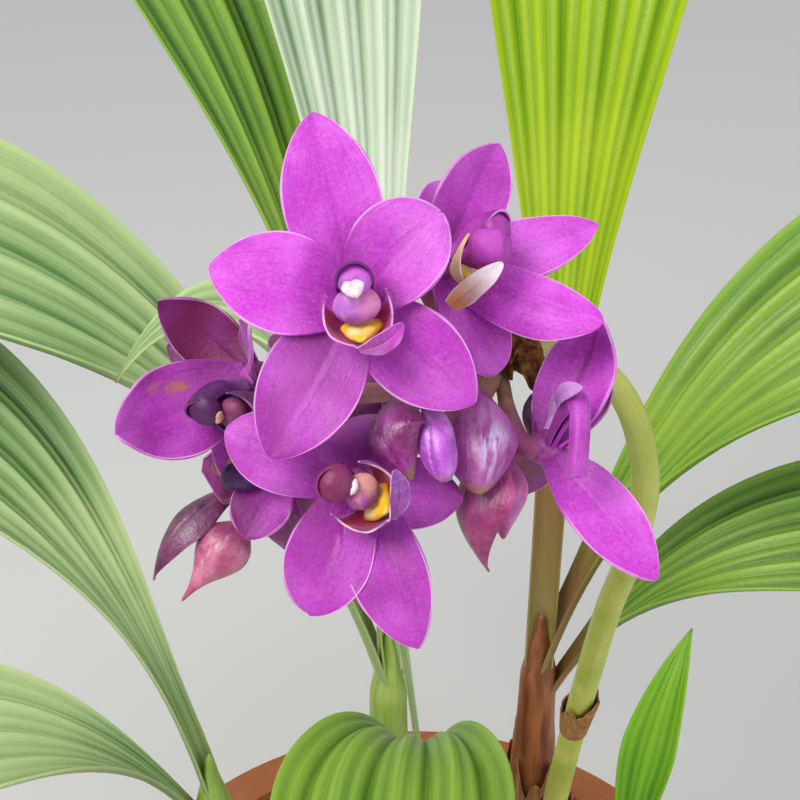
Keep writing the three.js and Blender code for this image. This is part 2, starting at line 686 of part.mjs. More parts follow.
// Each leaf is [height on the false stem, azimuth, reach, rise, drop, width, twist, sway].
const SHOOTS = [
  {
    name: "shoot_middle",
    foot: [-8, 36],
    tall: 104,
    leaves: [
      [76, 181, 230, 160, 70, 60, -22, 0],
      [88, 138, 160, 206, 50, 50, 0, 0],
      [92, 108, 130, 222, 30, 46, 0, 0],
    ],
  },
  {
    name: "shoot_right",
    foot: [31, 42],
    tall: 104,
    leaves: [
      [76, 8, 196, 136, 62, 62, 22, 0],
      [88, 82, 140, 214, 44, 54, 0, 0],
      [64, -4, 180, 90, 84, 46, 14, 0],
    ],
  },
  {
    name: "shoot_left",
    foot: [-50, 2],
    tall: 96,
    leaves: [
      [62, 206, 180, 88, 96, 50, 0, 0],
      [76, 160, 165, 128, 88, 50, 0, 0],
    ],
  },
  {
    name: "shoot_young",
    foot: [46, -14],
    tall: 70,
    leaves: [
      [50, 58, 30, 52, -26, 13, 0, 0],
      [42, -24, 120, 66, 60, 26, 0, 0],
    ],
  },
  {
    name: "shoot_front",
    foot: [0, 2],
    tall: 100,
    leaves: [
      [72, 264, 150, 98, 118, 46, 0, 0],
      [80, 190, 60, 136, 6, 26, 0, 0],
    ],
  },
];

function bulbProfile(extra = 0) {
  const { radius, above, below } = BULB;
  return [
    [0, -below - extra],
    [radius * 0.6 + extra, -below - extra],
    [radius + extra, -below * 0.1],
    [radius + extra, above * 0.25],
    [radius * 0.86 + extra, above * 0.7],
    [FALSE_STEM.foot + extra, above],
  ];
}

// A profile turned about an upright axis that stands at foot on the mix.
function turned(points, sides, [x, y]) {
  const lathe = new THREE.LatheGeometry(points, sides).rotateX(Math.PI / 2);
  return solidOfGeometry(lathe.translate(x, y, SOIL_TOP));
}

function shootCore({ foot, tall }, extra = 0) {
  const profile = [
    ...bulbProfile(extra),
    [FALSE_STEM.top + extra, tall * FALSE_STEM.tapersFrom],
    [FALSE_STEM.tip + extra, tall],
    [0, tall + FALSE_STEM.tip + extra],
  ];
  const points = profile.map(([radius, height]) => new THREE.Vector2(radius, height));
  return turned(points, FALSE_STEM.sides, foot);
}

function shootPiece(shoot) {
  const { name, foot, leaves } = shoot;
  const parts = [shootCore(shoot)];
  for (const [height, azimuth, reach, rise, drop, width, twist, sway] of leaves) {
    const from = vec(foot[0], foot[1], SOIL_TOP + height);
    const shape = { from, azimuth, reach, rise, drop, width, twist, sway };
    parts.push(bladeSolid(leafSurface(shape), LEAF_ROWS, foldsOf(width) * 2, LEAF_THICKNESS));
  }
  return piece(`${name}_leaves`, join(parts), materials.leaf);
}

// A torn papery sheath round the foot of a false stem, open at its top.
function sheathPiece({ name, foot, tall }) {
  const low = BULB.above + 1;
  const high = tall * SHEATH.share;
  const inner = (up) => {
    const share = (up - BULB.above) / (tall * FALSE_STEM.tapersFrom - BULB.above);
    return lerp(FALSE_STEM.foot, FALSE_STEM.top, share) + SEAT_GAP;
  };
  const profile = [
    [inner(low), low],
    [inner(low) + SHEATH.thickness, low],
    [inner(high) + SHEATH.thickness + SHEATH.flare, high],
    [inner(high) + SHEATH.flare, high],
    [inner(low), low],
  ].map(([radius, up]) => new THREE.Vector2(radius, up));
  return piece(`${name}_sheath`, turned(profile, FALSE_STEM.sides, foot), materials.sheath);
}

// Pot and mix

const potOuter = (up) => lerp(POT.baseRadius, POT.topRadius - RIM.step, up / POT.height);
const potInner = (up) => potOuter(up) - POT.wall;

function potSolid() {
  const { height, topRadius, wall, edge, sides } = POT;
  const underRim = height - RIM.height;
  const profile = [
    [0, 0],
    [potOuter(0) - edge, 0],
    [potOuter(edge), edge],
    [potOuter(underRim), underRim],
    [topRadius - edge, underRim],
    [topRadius, underRim + edge],
    [topRadius, height - edge],
    [topRadius - edge, height],
    [potInner(height) + edge, height],
    [potInner(height), height - edge],
    [potInner(wall), wall],
    [0, wall],
  ].map(([radius, up]) => new THREE.Vector2(radius, up));
  let pot = solidOfGeometry(new THREE.LatheGeometry(profile, sides).rotateX(Math.PI / 2));
  for (let i = 0; i < DRAIN.count; i++) {
    const angle = (2 * Math.PI * i) / DRAIN.count;
    const hole = new THREE.CylinderGeometry(DRAIN.radius, DRAIN.radius, 3 * wall, 8)
      .rotateX(Math.PI / 2)
      .translate(DRAIN.circle * Math.cos(angle), DRAIN.circle * Math.sin(angle), wall / 2);
    pot = pot.subtract(solidOfGeometry(hole));
  }
  return pot;
}

// The bark mix fills the pot. Its top is lumpy, with a plain hole for each shoot and the flower stem.
function soilSolid() {
  const { relief, rings, spokes, seed } = SOIL;
  const floor = POT.wall + SEAT_GAP;
  const random = seeded(seed);
  const positions = [0, 0, floor, 0, 0, SOIL_TOP];
  const triangles = [];
  const addRing = (radius, upAt) => {
    for (let k = 0; k < spokes; k++) {
      const angle = (2 * Math.PI * k) / spokes;
      positions.push(radius * Math.cos(angle), radius * Math.sin(angle), upAt());
    }
  };
  addRing(potInner(floor) - SEAT_GAP, () => floor);
  const edge = potInner(SOIL_TOP - relief) - SEAT_GAP;
  addRing(edge, () => SOIL_TOP - relief / 2);
  for (let ring = rings - 1; ring >= 1; ring--)
    addRing((edge * ring) / rings, () => SOIL_TOP + (2 * random() - 1) * relief);
  for (let k = 0; k < spokes; k++) {
    const next = (k + 1) % spokes;
    triangles.push(0, 2 + next, 2 + k);
    for (let ring = 0; ring < rings; ring++) {
      const a = 2 + ring * spokes;
      const b = a + spokes;
      triangles.push(a + k, a + next, b + next, a + k, b + next, b + k);
    }
    const top = 2 + rings * spokes;
    triangles.push(1, top + k, top + next);
  }
  let soil = solidFrom(positions, triangles);
  for (const shoot of SHOOTS) soil = soil.subtract(shootCore(shoot, SEAT_GAP));
  return soil.subtract(scapeClearance.transform(headMatrix.elements));
}

function seeded(seed) {
  let state = seed;
  return () => {
    state = (state * 16807) % 2147483647;
    return state / 2147483647;
  };
}

// The whole plant

const plant = new THREE.Group();
plant.add(piece("pot", potSolid(), materials.clay));
plant.add(piece("potting_mix", soilSolid(), materials.soil));
for (const shoot of SHOOTS) {
  plant.add(shootPiece(shoot));
  plant.add(sheathPiece(shoot));
}

const head = new THREE.Group();
head.rotation.x = headUp;
head.position.set(...HEAD_CENTRE);
head.add(piece("flower_stem", scapeSolid(), materials.stem));
for (const bloom of BLOOMS) head.add(bloomGroup(bloom));
for (const bud of HEAD_BUDS) head.add(budPiece(bud));
for (const bract of HEAD_BRACTS) head.add(bractPiece(bract));
head.add(witheredPiece());
plant.add(head);

export default plant;
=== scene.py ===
"""A potted ground orchid in bloom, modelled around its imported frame.

The tables and the modelling are in millimetres, with +Z up and the origin at the middle of the pot's
underside. A piece is scaled to metres when it is placed.
"""

import math
import random

import bpy
from mathutils import Matrix, Quaternion, Vector, noise


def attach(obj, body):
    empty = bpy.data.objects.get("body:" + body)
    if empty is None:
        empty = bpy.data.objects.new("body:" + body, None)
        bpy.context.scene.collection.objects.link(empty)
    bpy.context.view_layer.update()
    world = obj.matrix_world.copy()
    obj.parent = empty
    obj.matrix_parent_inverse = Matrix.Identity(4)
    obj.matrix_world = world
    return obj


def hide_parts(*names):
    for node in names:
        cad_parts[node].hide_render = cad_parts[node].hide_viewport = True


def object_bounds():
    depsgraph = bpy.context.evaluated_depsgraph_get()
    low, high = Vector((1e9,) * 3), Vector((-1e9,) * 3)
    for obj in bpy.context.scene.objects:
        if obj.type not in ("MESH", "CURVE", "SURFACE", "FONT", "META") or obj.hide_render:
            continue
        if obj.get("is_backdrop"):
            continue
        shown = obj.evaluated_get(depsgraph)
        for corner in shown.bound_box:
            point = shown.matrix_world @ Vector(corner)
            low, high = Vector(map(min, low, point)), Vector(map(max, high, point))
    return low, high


bl_info = {
    "name": "Potted Ground Orchid",
    "version": (1, 0, 0),
    "blender": (4, 5, 0),
    "location": "3D View > Sidebar > Orchid",
    "description": "Models a potted ground orchid in bloom around its packed frame",
    "category": "Add Mesh",
}

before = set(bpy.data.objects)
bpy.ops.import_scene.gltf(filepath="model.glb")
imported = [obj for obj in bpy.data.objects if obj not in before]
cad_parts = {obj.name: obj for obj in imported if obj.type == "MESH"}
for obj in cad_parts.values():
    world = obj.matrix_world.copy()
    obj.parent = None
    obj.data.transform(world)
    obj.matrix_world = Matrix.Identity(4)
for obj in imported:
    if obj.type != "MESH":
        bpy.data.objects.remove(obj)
CAD_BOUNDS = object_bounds()

MM = 0.001
BODY = "root"

# Driving sizes

POT = {"height": 150, "top_radius": 88, "base_radius": 62, "wall": 6, "edge": 1.5, "sides": 96}
RIM = {"height": 26, "step": 5, "above_mix": 14}
DRAIN = {"count": 5, "radius": 5, "circle": 38}
SOIL_TOP = POT["height"] - RIM["above_mix"]
SEAT_GAP = 0.35
BULB = {"radius": 11.5, "above": 17, "below": 8}
# The swollen foot's outline below and above the mix: shares of its depth or height, and of its radius.
BULB_BELOW = ((1, 0.6), (0.1, 1))
BULB_ABOVE = ((0.25, 1), (0.7, 0.86))
FALSE_STEM = {"foot": 7, "top": 4.8, "tip": 0.8, "tapers_from": 0.8}
# On a shoot: how deep the laps of its leaf bases are and how high each one winds, and of the ring scars on
# its foot, how deep they are, how high up they go and how close they lie.
LAPS = {"depth": 0.07, "rise": 60, "scar": 0.02, "scars_to": 20, "scar_turns": 1.1}
# Of each layer of a dry sheath: how high it reaches, its gap to the stem and where its middle faces.
SHEATH_LAYERS = ((1.0, 0.5, 0.0), (0.62, 1.1, 2.4))
# Of a dry sheath: how high it reaches on the false stem, how far it goes down over the foot, how far round
# it goes in half turns, how much wider it is than the stem, its flare, its torn edge and its thickness.
SHEATH = {
    "share": 0.58,
    "overlap": 6,
    "round": 1.04,
    "wider": 1.04,
    "flare": 1.2,
    "torn": 0.3,
    "frayed": 0.12,
    "thickness": 0.35,
}
SCAPE = {"foot_radius": 3.1, "top_radius": 2.2, "tip_radius": 1.5, "hook_from": 0.82}
# Where the stem's clasping bracts sit on it and how long they are, as shares of its length, the ring at
# each, and how far round the stem a bract goes, where its middle faces, its point, gap and flare.
SCAPE_SHEATHS = (0.17, 0.36, 0.515)
SCAPE_SHEATH_LENGTH = 0.06
SCAPE_RING = {"height": 0.25, "share": 0.004}
CLASP = {"round": 0.97, "faces": 0.6, "pointed": 0.45, "gap": 0.25, "flare": 0.75, "thickness": 0.3}
# Of a bloom's or bud's stalk: its radii, how far it goes straight back, and the ribs of its ovary.
PEDICEL = {"ovary": 1.55, "thin": 1.0, "bud_foot": 1.2, "straight": 0.3, "ribs": 0.06}
# The knot that a bloom's tepals meet at.
KNOT_RADIUS = 2.3
KNOT_CENTRE = (0, 0, -0.3)

# The head of blooms has its own frame: x to the right, y up its face, z out of its face.
HEAD_CENTRE = Vector((-5, -100, 406))
HEAD_LOOKS_UP = math.radians(35)
HEAD = Matrix.Translation(HEAD_CENTRE) @ Matrix.Rotation(math.pi / 2 - HEAD_LOOKS_UP, 4, "X")
CAMERA_DISTANCE = 200
LENS = 73.17

# The form that a tepal, bract or lobe has where its own table says nothing.
USUAL_FORM = {
    "foot": 0.42,
    "peak": 0.5,
    "blunt": 0.75,
    "end": 0.02,
    "arch": 1,
    "wrap": 0.35,
    "roll": 0,
    "bow": 0,
    "curl": 0,
}
# How far out a tepal starts from the bloom's centre, as a share of its length.
TEPAL_FOOT = 0.04
TEPAL_WAVES = 2.1
TEPAL_CREASE = {"depth": 0.16, "half_width": 0.08}
TEPAL_SWELL = 0.1
# How much closer the rows of a blade stand towards its tip.
ROW_EASING = 1.3

# The form of a tepal that others hide, which painted shade darkens, and the facings that two tepals
# of a bloom share.
HIDDEN = {"wrap": 0.3, "deep": 0.8}
LEFT_FACE = (-0.45, 0.15, 0.66)
RIGHT_FACE = (-0.11, 0.48, 0.58)
# The petal that rolls over in front of its throat.
ROLLED_PETAL = {
    "facing": (0.24, 0.93, 0.33),
    "arch": 9.2,
    "wrap": -2.85,
    "foot": 0.4,
    "end": 0.85,
    "deep": 0.45,
}
# Scars on a tepal: how far along it, how far across it, and how large each one is.
SCARS = ((0.47, 0.5, 0.07), (0.41, 0.42, 0.04), (0.62, 0.66, 0.045))
# Blooms in the head's frame: centre, facing of the throat, up of the top sepal, where the stalk joins
# the stem and a place on its way there, and for each tepal its tip from the centre, its width and its
# form. In a form, foot and end are shares of the width, peak is where it is widest, blunt rounds the tip,
# arch, bow and curl are in millimetres, wrap is a half-angle, roll is in degrees, deep is how much
# painted shade darkens it, and rib is how strong its midrib is.
BLOOMS = {
    "front": {
        "centre": (-5.3, 11.5, 8),
        "facing": (0.04, 0.02, 1),
        "up": (-0.12, 1, 0),
        "joins": (13.6, 4.9, -15.6),
        "tepals": [
            ((-5, 22, 2), 11.9, {"arch": 1.2, "wrap": 0.3, "foot": 0.5, "deep": 0.14}),
            ((-16.8, 3.9, 3), 12.2, {"arch": 1.2, "wrap": 0.3, "roll": 4, "foot": 0.5}),
            (
                (10, 10.2, 4.2),
                12.2,
                {"arch": 1.6, "wrap": 0.4, "roll": -10, "peak": 0.58, "blunt": 0.6, "deep": 0.24},
            ),
            ((-9.8, -18.2, 2.6), 12, {"wrap": 0.25, "blunt": 0.7, "deep": 0.5}),
            ((14, -11.9, 2.4), 11, {"wrap": 0.3, "roll": 6, "deep": 0.34}),
        ],
    },
    "upper_right": {
        "centre": (5.1, 17.2, -3.5),
        "facing": (0.75, 0.22, 0.63),
        "up": (0.26, 1, 0),
        "joins": (19, 7.2, -22.4),
        "tepals": [
            ((7.2, 14.7, 1.5), 9.8, {"arch": -0.4, "wrap": 0.4, "curl": 0.5, "deep": 0.38}),
            ((1.2, 10.6, -5), 9.5, {"arch": 0.2, "wrap": 0.3, "blunt": 0.55}),
            ((20, 5, -2.5), 8.2, {"arch": -1, "bow": 0.8, "wrap": 0.4, "roll": -12, "deep": 0.16}),
            ((19.6, -7.8, 4.5), 8.4, {"arch": -1, "bow": 0.6, "wrap": -0.45, "roll": 8, "blunt": 0.6}),
            ((7.1, -13.9, -2), 9.6, {"arch": 0.6, "wrap": 0.3, "blunt": 0.55, "deep": 0.25}),
        ],
    },
    "left": {
        "centre": (-18.4, 2.8, -8),
        "facing": (-0.5, -0.57, 0.65),
        "up": (-0.8, 0.5, 0),
        "joins": (12.4, 3.6, -13.8),
        "via": (14, -1.9, -3.7),
        "tepals": [
            ((-12.4, 9.8, 1), 8.4, {"facing": LEFT_FACE, "arch": -2, "wrap": 0.4, "roll": 10, "deep": 0.98}),
            ((-12.1, 4.3, -5.4), 8.4, {"facing": LEFT_FACE, "arch": -1, "wrap": 0.4, "deep": 0.95}),
            (
                (-16.7, -7.1, 8),
                12.6,
                {"facing": (-0.3, -0.1, 0.8), "arch": -3, "deep": 0.46, "scars": SCARS},
            ),
            ((0.1, 6.7, 10), 7, {"arch": 0.4, "wrap": 0.3, "facing": (-0.95, -0.3, 0), "deep": 0.55}),
            ((4, -2, -14), 9, HIDDEN),
        ],
    },
    "lower": {
        "centre": (-5.3, -10.4, 3),
        "facing": (-0.08, -0.02, 1),
        "up": (-0.88, 0.46, 0),
        "joins": (10.2, -0.2, -9.8),
        "tepals": [
            (
                (-15.6, 6.8, 1),
                9.8,
                {"arch": 1.6, "wrap": -0.5, "roll": 4, "peak": 0.6, "blunt": 0.6, "deep": 0.3},
            ),
            ((3.6, 8.2, -9), 11.5, {"arch": 2, "wrap": -0.6, "foot": 0.6, "deep": 0.5}),
            (
                (-5.6, -15.1, 3),
                10.6,
                {"arch": 1.2, "wrap": 0.25, "foot": 0.5, "peak": 0.58, "blunt": 0.6, "deep": 0.46},
            ),
            ((7.5, -19.1, 4), 9.6, {"arch": 1.2, "wrap": 0.3, "foot": 0.5, "deep": 0.46}),
            ((12.9, -1.8, -2.4), 9, {"wrap": -0.4, "roll": -10, "deep": 0.5}),
        ],
    },
    "right": {
        "centre": (18.5, -6.1, -8),
        "facing": (0.31, 0.74, -0.6),
        "up": (0, -0.1, 1),
        "joins": (13.2, 3.6, -14.8),
        "via": (-3.2, 0.6, 0.6),
        "tepals": [
            (
                (7.2, 16.4, 1),
                10.8,
                {"facing": RIGHT_FACE, "arch": -1, "wrap": 0.4, "roll": -4, "deep": 0.14, "rib": 0.5},
            ),
            ((13.3, -16.3, 6), 8.8, {"facing": RIGHT_FACE, "roll": 6, "foot": 0.35, "deep": 0.14}),
            ((3.2, -3.2, 11.5), 7, ROLLED_PETAL),
            ((8, 11, -11), 9.4, HIDDEN),
            ((-5, -8, -15), 9, HIDDEN),
        ],
    },
    "lower_left": {
        "centre": (-16.2, -10.6, -16),
        "facing": (-0.93, 0.12, 0.3),
        "up": (0, -0.1, 1),
        "joins": (10.8, 1, -11.6),
        "tepals": [
            (
                (-4, -7.6, 3),
                8.4,
                {"facing": (-0.2, 0.1, 0.95), "arch": 0.6, "wrap": 0.4, "foot": 0.6, "deep": 0.6},
            ),
            ((-8.5, 6.9, 0), 9.4, {"facing": (-0.3, 0.1, 0.9), "arch": -1.5, "wrap": 0.3, "deep": 0.45}),
            ((4, -12, -8), 8.6, HIDDEN),
            ((7.5, 5, -3), 8.6, HIDDEN),
            ((9, -3, -10), 8.6, HIDDEN),
        ],
    },
    "back": {
        "centre": (-7, 4.6, -21),
        "facing": (-0.2, 0.92, -0.25),
        "up": (0, 0.25, 1),
        "joins": (16.6, 6.4, -19.8),
        "via": (5, -2.4, -1),
        "tepals": [
            ((-11, 4, -5), 9.6, HIDDEN),
            ((9, -1.8, 4.4), 9.6, HIDDEN),
            ((0.6, -12, 7.6), 10, HIDDEN),
            ((8, 8, -11), 9.4, HIDDEN),
            ((-6, 0.5, -15), 9.6, HIDDEN),
        ],
    },
}

# The throat, in its own frame: x across, y towards the top sepal, z out of the bloom.
# Each row of the hood is y, z, radius and the half-angle of its section.
HOOD = (
    (0.3, 2.2, 1.1, 2.5),
    (1.0, 4.4, 1.3, 2.3),
    (1.7, 6.4, 1.9, 2.0),
    (1.85, 8.2, 2.15, 1.9),
    (1.75, 9.5, 2.15, 1.85),
    (1.65, 10.2, 2.05, 1.7),
)
HOOD_THICKNESS = 0.28
# How much shorter the hood gets towards its sides.
HOOD_CUT = {"share": 0.16, "power": 2.2}
COLUMN_BODY = ((0.1, 2.0), (0.3, 4.6), (0.5, 6.6), (0.6, 8.2))
COLUMN_BODY_RADIUS = 1.3
# The anther cap: its tilt, how much narrower it gets below, and the notch and crease between its lobes.
ANTHER = {
    "tilt": 0.2,
    "narrowing": 0.38,
    "notch": 0.2,
    "notch_width": 0.35,
    "crease": 0.25,
    "crease_width": 0.16,
    "rough": 0.1,
}
# Of a column's face: place across, width and height of each hump and of the furrow.
FACE_HUMPS = ((-0.42, 0.36, 0.22), (0.5, 0.34, 0.1))
FACE_FURROW = (0.08, 0.12, 0.1)
FACE = {"narrowing": 0.14, "rough": 0.05}
# The plug that fills the hood's mouth, the anther cap on it and the fleshy face below, as centre and radii.
THROATS = {
    "open": {
        "plug": ((0.05, 1.9, 8.65), (2.05, 1.85, 1.25)),
        "anther": ((-0.2, 0.85, 9.6), (1.35, 1.15, 0.7)),
        "face": ((0, -0.75, 6.9), (2.8, 2.3, 1.4)),
    },
    "closed": {
        "plug": ((0.15, 1.8, 8.9), (2.3, 2.25, 1.75)),
        "anther": ((0.8, -0.4, 9.1), (1.05, 0.5, 0.7)),
        "face": ((0.5, -1.2, 7.0), (2.3, 2.1, 1.4)),
    },
    "covered": {
        "plug": ((0, 1.75, 9.1), (2.15, 2.1, 1.4)),
        "anther": ((0, 0.4, 8.6), (0.8, 0.6, 0.5)),
        "face": ((0, -0.2, 7.9), (2.9, 3.1, 2.3)),
    },
}
THROAT_KINDS = {"front": "open", "upper_right": "covered"}
COLUMN_SCALE = {"lower_left": 0.75}
LIP_SPINE = (Vector((0, -1.8, 1.9)), Vector((0, -5.6, 3.4)), Vector((0, -5.9, 9.2)))
# Along the lip, half of its arc, and the half-angle of its section.
LIP_FORM = (
    (0, 1.5, 1.0),
    (0.16, 4.8, 1.6),
    (0.31, 7.8, 2.0),
    (0.46, 8.4, 2.1),
    (0.7, 5.2, 1.3),
    (1, 1, 0.4),
)
LIP_FRILL = {"height": 0.18, "waves": 14, "lumps": 0.08}
# Along the lip, half-width and half-height.
CALLUS_FORM = ((0.2, 1.2, 0.4), (0.34, 2.3, 0.85), (0.56, 2.3, 0.95), (0.92, 0.4, 0.3))
CALLUS_LEAN = {"front": 0.6}
CALLUS_CLEFT = {"depth": 0.28, "width": 0.28}
# Blooms whose callus is darkened with painted shade, as their throats lie in the shade.
SHADED_CALLUSES = ("left", "right", "lower_left", "back")
# How much of the lip's length the cup has, and the lobe that folds over at its front.
LIP_REACH = {"upper_right": 0.56}
TURNED_LOBE = {
    "base": (-0.4, -6.1, 9.4),
    "tip": (4.9, -3.7, 9.5),
    "faces": (0.1, -0.2, 1),
    "width": 2.5,
    "form": {"bow": 0.6, "arch": 0.5, "wrap": 0.6, "foot": 0.3, "blunt": 0.6},
}
CLAW = {
    "base": (-1.2, -6.5, 2.1),
    "tip": (-0.35, -3.0, 9.9),
    "faces": (-0.69, -0.47, 0.58),
    "width": 3.0,
    "form": {"bow": -0.1, "arch": 0.8, "wrap": 0.6, "foot": 0.6, "peak": 0.4, "blunt": 0.55},
}
TONGUE = {
    "base": (1.7, 8.2, 0.7),
    "tip": (0.4, 14.0, 0.1),
    "faces": (0.17, 0.96, -0.38),
    "width": 2.1,
    "form": {"bow": -0.5, "arch": 0.7, "wrap": 0.3, "foot": 0.5, "peak": 0.55, "blunt": 0.6},
}
# The front lobe of a lip, and which of the lip tones it has.
LIP_LOBES = {
    "front": (TURNED_LOBE, "front"),
    "lower": (TURNED_LOBE, "lower"),
    "upper_right": (CLAW, "claw"),
    "right": (TONGUE, "tongue"),
}

BUDS = {
    "left": {
        "base": (3.5, -0.8, 5),
        "tip": (5.5, -9.8, 7.6),
        "radius": 2.3,
        "outline": "blunt",
        "via": (4, 2, -1.5),
        "joins": (10, 0.2, -9.4),
    },
    "middle": {
        "base": (9.6, -1.6, -1.6),
        "tip": (9.6, -9.4, 1),
        "radius": 3,
        "via": (9.2, -1, -4.4),
        "joins": (9, -2.8, -6.4),
    },
    "lower": {
        "base": (13.2, -7.4, -6),
        "tip": (13, -17.6, -5.2),
        "radius": 3.2,
        "via": (12.6, -4.6, -7.4),
        "joins": (9.2, -2.4, -6.8),
    },
    "far_left": {
        "base": (-21.4, -17.2, -20),
        "tip": (-29.4, -27.1, -19),
        "radius": 3.7,
        "outline": "drawn",
        "via": (-15, -6, -28),
        "joins": (12.6, 2, -15.4),
    },
}
# Of each bract: its base, its tip, the way it faces and its form, and where along and across its  painted
# highlight sits, how wide it is and how strong.
BRACTS = {
    "left": {
        "base": (-0.2, 0.4, 2.5),
        "tip": (1.4, -9.4, 6.5),
        "faces": (0.77, 0, -0.64),
        "form": {"width": 13, "wrap": 1.3, "arch": -4.2},
        "gleam": (0.5, 0.1, 0.2, 0.25),
    },
    "middle": {
        "base": (9.6, 1.1, -2.4),
        "tip": (9.6, -11.3, 3.4),
        "faces": (0, -0.3, -1),
        "form": {"width": 13, "wrap": 1.3, "arch": -3.2, "blunt": 0.5, "foot": 0.36},
        "gleam": (0.6, 0.25, 0.26, 1.0),
    },
    "lower": {
        "base": (11, -6, -3.8),
        "tip": (11.1, -21.3, -2.5),
        "faces": (0.8, 0, -0.6),
        "form": {"width": 13, "wrap": 1.08, "arch": -3.6, "blunt": 1.5, "peak": 0.38},
        "gleam": (0.4, 0.3, 0.16, 0.2),
    },
    "far_left": {
        "base": (-23.6, -12.4, -21.5),
        "tip": (-33.2, -24.3, -19.5),
        "faces": (0.55, -0.45, -0.7),
        "form": {"width": 7.6, "wrap": 0.9, "arch": -2.8, "blunt": 1.4, "peak": 0.38},
        "gleam": (0.3, 0.4, 0.2, 0.15),
    },
}
BRACT_FORM = {"foot": 0.5, "peak": 0.42}
BRACT_THICKNESS = 0.36
# A bud's outline, as shares of its radius at even steps from its foot to its tip.
BUD_OUTLINES = {
    "pointed": (0.3, 0.72, 0.98, 0.96, 0.7, 0.36, 0.06),
    "blunt": (0.34, 0.78, 0.98, 1, 0.94, 0.72, 0.24),
    "drawn": (0.4, 0.9, 1, 0.76, 0.4, 0.16, 0.04),
}
# The seams between a bud's sepals wind round it from start, by slant in all, both in radians.
BUD_SEAMS = {"start": 0.5, "slant": 0.9, "groove": 0.1, "groove_width": 0.12, "line_width": 0.05}
BUD_FLATTENED = 0.92
# The withered bloom: x, y, z, half-width and half-height of each section, and each shred's tip and facing.
WITHERED = (
    (14.8, 10.2, -14.2, 0.6, 0.6),
    (14, 9.2, -12.8, 1.9, 1.4),
    (15.2, 7.2, -12.4, 2.9, 1.8),
    (16.6, 5.0, -13.6, 2.6, 1.9),
    (17.6, 3.0, -15, 1.0, 1.0),
)
SHREDS = (
    ((16.5, 10.2, -10.5), (0.4, 1, 0.2)),
    ((18.3, 6.6, -11.4), (1, 0.2, 0.6)),
    ((14.2, 5.0, -11.6), (-0.4, -0.5, 1)),
    ((17.4, 1.2, -12.6), (0.5, 0.2, 1)),
    ((14.6, 2.6, -12.4), (-0.6, 0.3, 0.8)),
)
SHRED_FOOT = (15.2, 7.4, -12.2)
SHRED_FORM = {"arch": 0.9, "wrap": 1.0, "foot": 0.5, "bow": 0.4}
SHRED_WIDTH = 2.6
SHRED_THICKNESS = 0.3

SCAPE_FOOT = (27, 4, SOIL_TOP - 30)
SCAPE_LOW = (29, -8, SOIL_TOP + 70)
SCAPE_HEAD_POINTS = (
    (36.6, -39, -90),
    (37.4, -24, -62),
    (36.9, -10.5, -45),
    (32.4, 0.6, -36),
    (23.6, 7.4, -27.5),
    (15.6, 6, -18.6),
    (11.2, 1.9, -12.4),
    (8.8, -3.2, -5.8),
)

# Each leaf is height on the false stem, azimuth, reach, rise, drop, width, twist and its tone.
SHOOTS = {
    "middle": {
        "foot": (-8, 36),
        "tall": 104,
        "leaves": [
            (76, 181, 230, 160, 70, 60, -22, "grey"),
            (88, 138, 160, 206, 50, 50, 0, "green"),
            # This leaf's pale tone is a painted reflection: the shine of its glossy face.
            (92, 108, 130, 222, 30, 46, 0, "pale"),
        ],
    },
    "right": {
        "foot": (31, 42),
        "tall": 104,
        "rust": 1.0,
        "leaves": [
            (76, 8, 196, 136, 62, 62, 22, "green"),
            (88, 82, 140, 214, 44, 54, 0, "yellow"),
            (64, -4, 180, 90, 84, 46, 14, "green"),
        ],
    },
    "left": {
        "foot": (-50, 2),
        "tall": 96,
        "leaves": [(62, 206, 180, 88, 96, 50, 0, "grey"), (76, 160, 165, 128, 88, 50, 0, "grey")],
    },
    "young": {
        "foot": (46, -14),
        "tall": 70,
        "leaves": [(50, 58, 30, 52, -26, 13, 0, "fresh"), (42, -24, 120, 66, 60, 26, 0, "fresh")],
    },
    "front": {
        "foot": (0, 2),
        "tall": 100,
        "leaves": [(72, 264, 150, 98, 118, 46, 0, "green"), (80, 190, 60, 136, 6, 26, 0, "grey")],
    },
}
# Of a leaf: its outline as shares of its length and width, how wide one with all its folds is, how deep
# the folds are for its width, the width that the ridges' size is meant for, where along it the pleats
# reach their full height, how much its edges wave, and its grid.
LEAF = {
    "neck": 0.17,
    "neck_to": 0.1,
    "widest_at": 0.56,
    "point": 0.012,
    "taper": 1.35,
    "full_width": 30,
    "folds": 4,
    "fold_depth": 0.0304,
    "ridges_per_fold": 3,
    "ridge_width": 50,
    "pleated_from": 0.4,
    "wave": 0.02,
    "rows": 46,
    "columns_per_fold": 18,
}
# A leaf's two handles as shares of its reach and rise, and its half-angles near the foot and further out.
LEAF_HANDLES = ((0.1, 0.75), (0.5, 1.3))
LEAF_GUTTER = (1.25, 0.3)

# The mix: the share of its grid that is its underside, its lumps, how far its top lies below the chips'
# level, and how light it is among them.
MIX = {"turns_up": 0.4, "lumps": 1.6, "under_chips": 2, "tone": 0.15}
# Of the bark chips: how many shapes there are, how rough they are, how far they lean, how far they keep
# from the rim and the shoots, and the ranges of their length, width, thickness and height on the mix.
CHIP = {
    "shapes": 6,
    "jitter": 0.09,
    "lean": 0.4,
    "from_rim": 5,
    "from_shoot": 2,
    "long": (0.55, 1.35),
    "wide": (0.4, 0.75),
    "thick": (0.16, 0.32),
    "up": (-2.2, 1.8),
}
# Rows and columns of each piece's grid.
GRIDS = {
    "tepal": (40, 24),
    "knot": (12, 16),
    "stalk": (28, 18),
    "hood": (30, 32),
    "column": (14, 16),
    "plug": (22, 32),
    "anther": (16, 28),
    "face": (26, 40),
    "lip": (40, 40),
    "lip_lobe": (30, 16),
    "callus": (20, 24),
    "bud": (48, 54),
    "bract": (44, 40),
    "withered": (34, 40),
    "shred": (14, 10),
    "stem": (170, 24),
    "clasp": (18, 32),
    "core": (60, 36),
    "sheath": (30, 64),
    "mix": (30, 64),
}
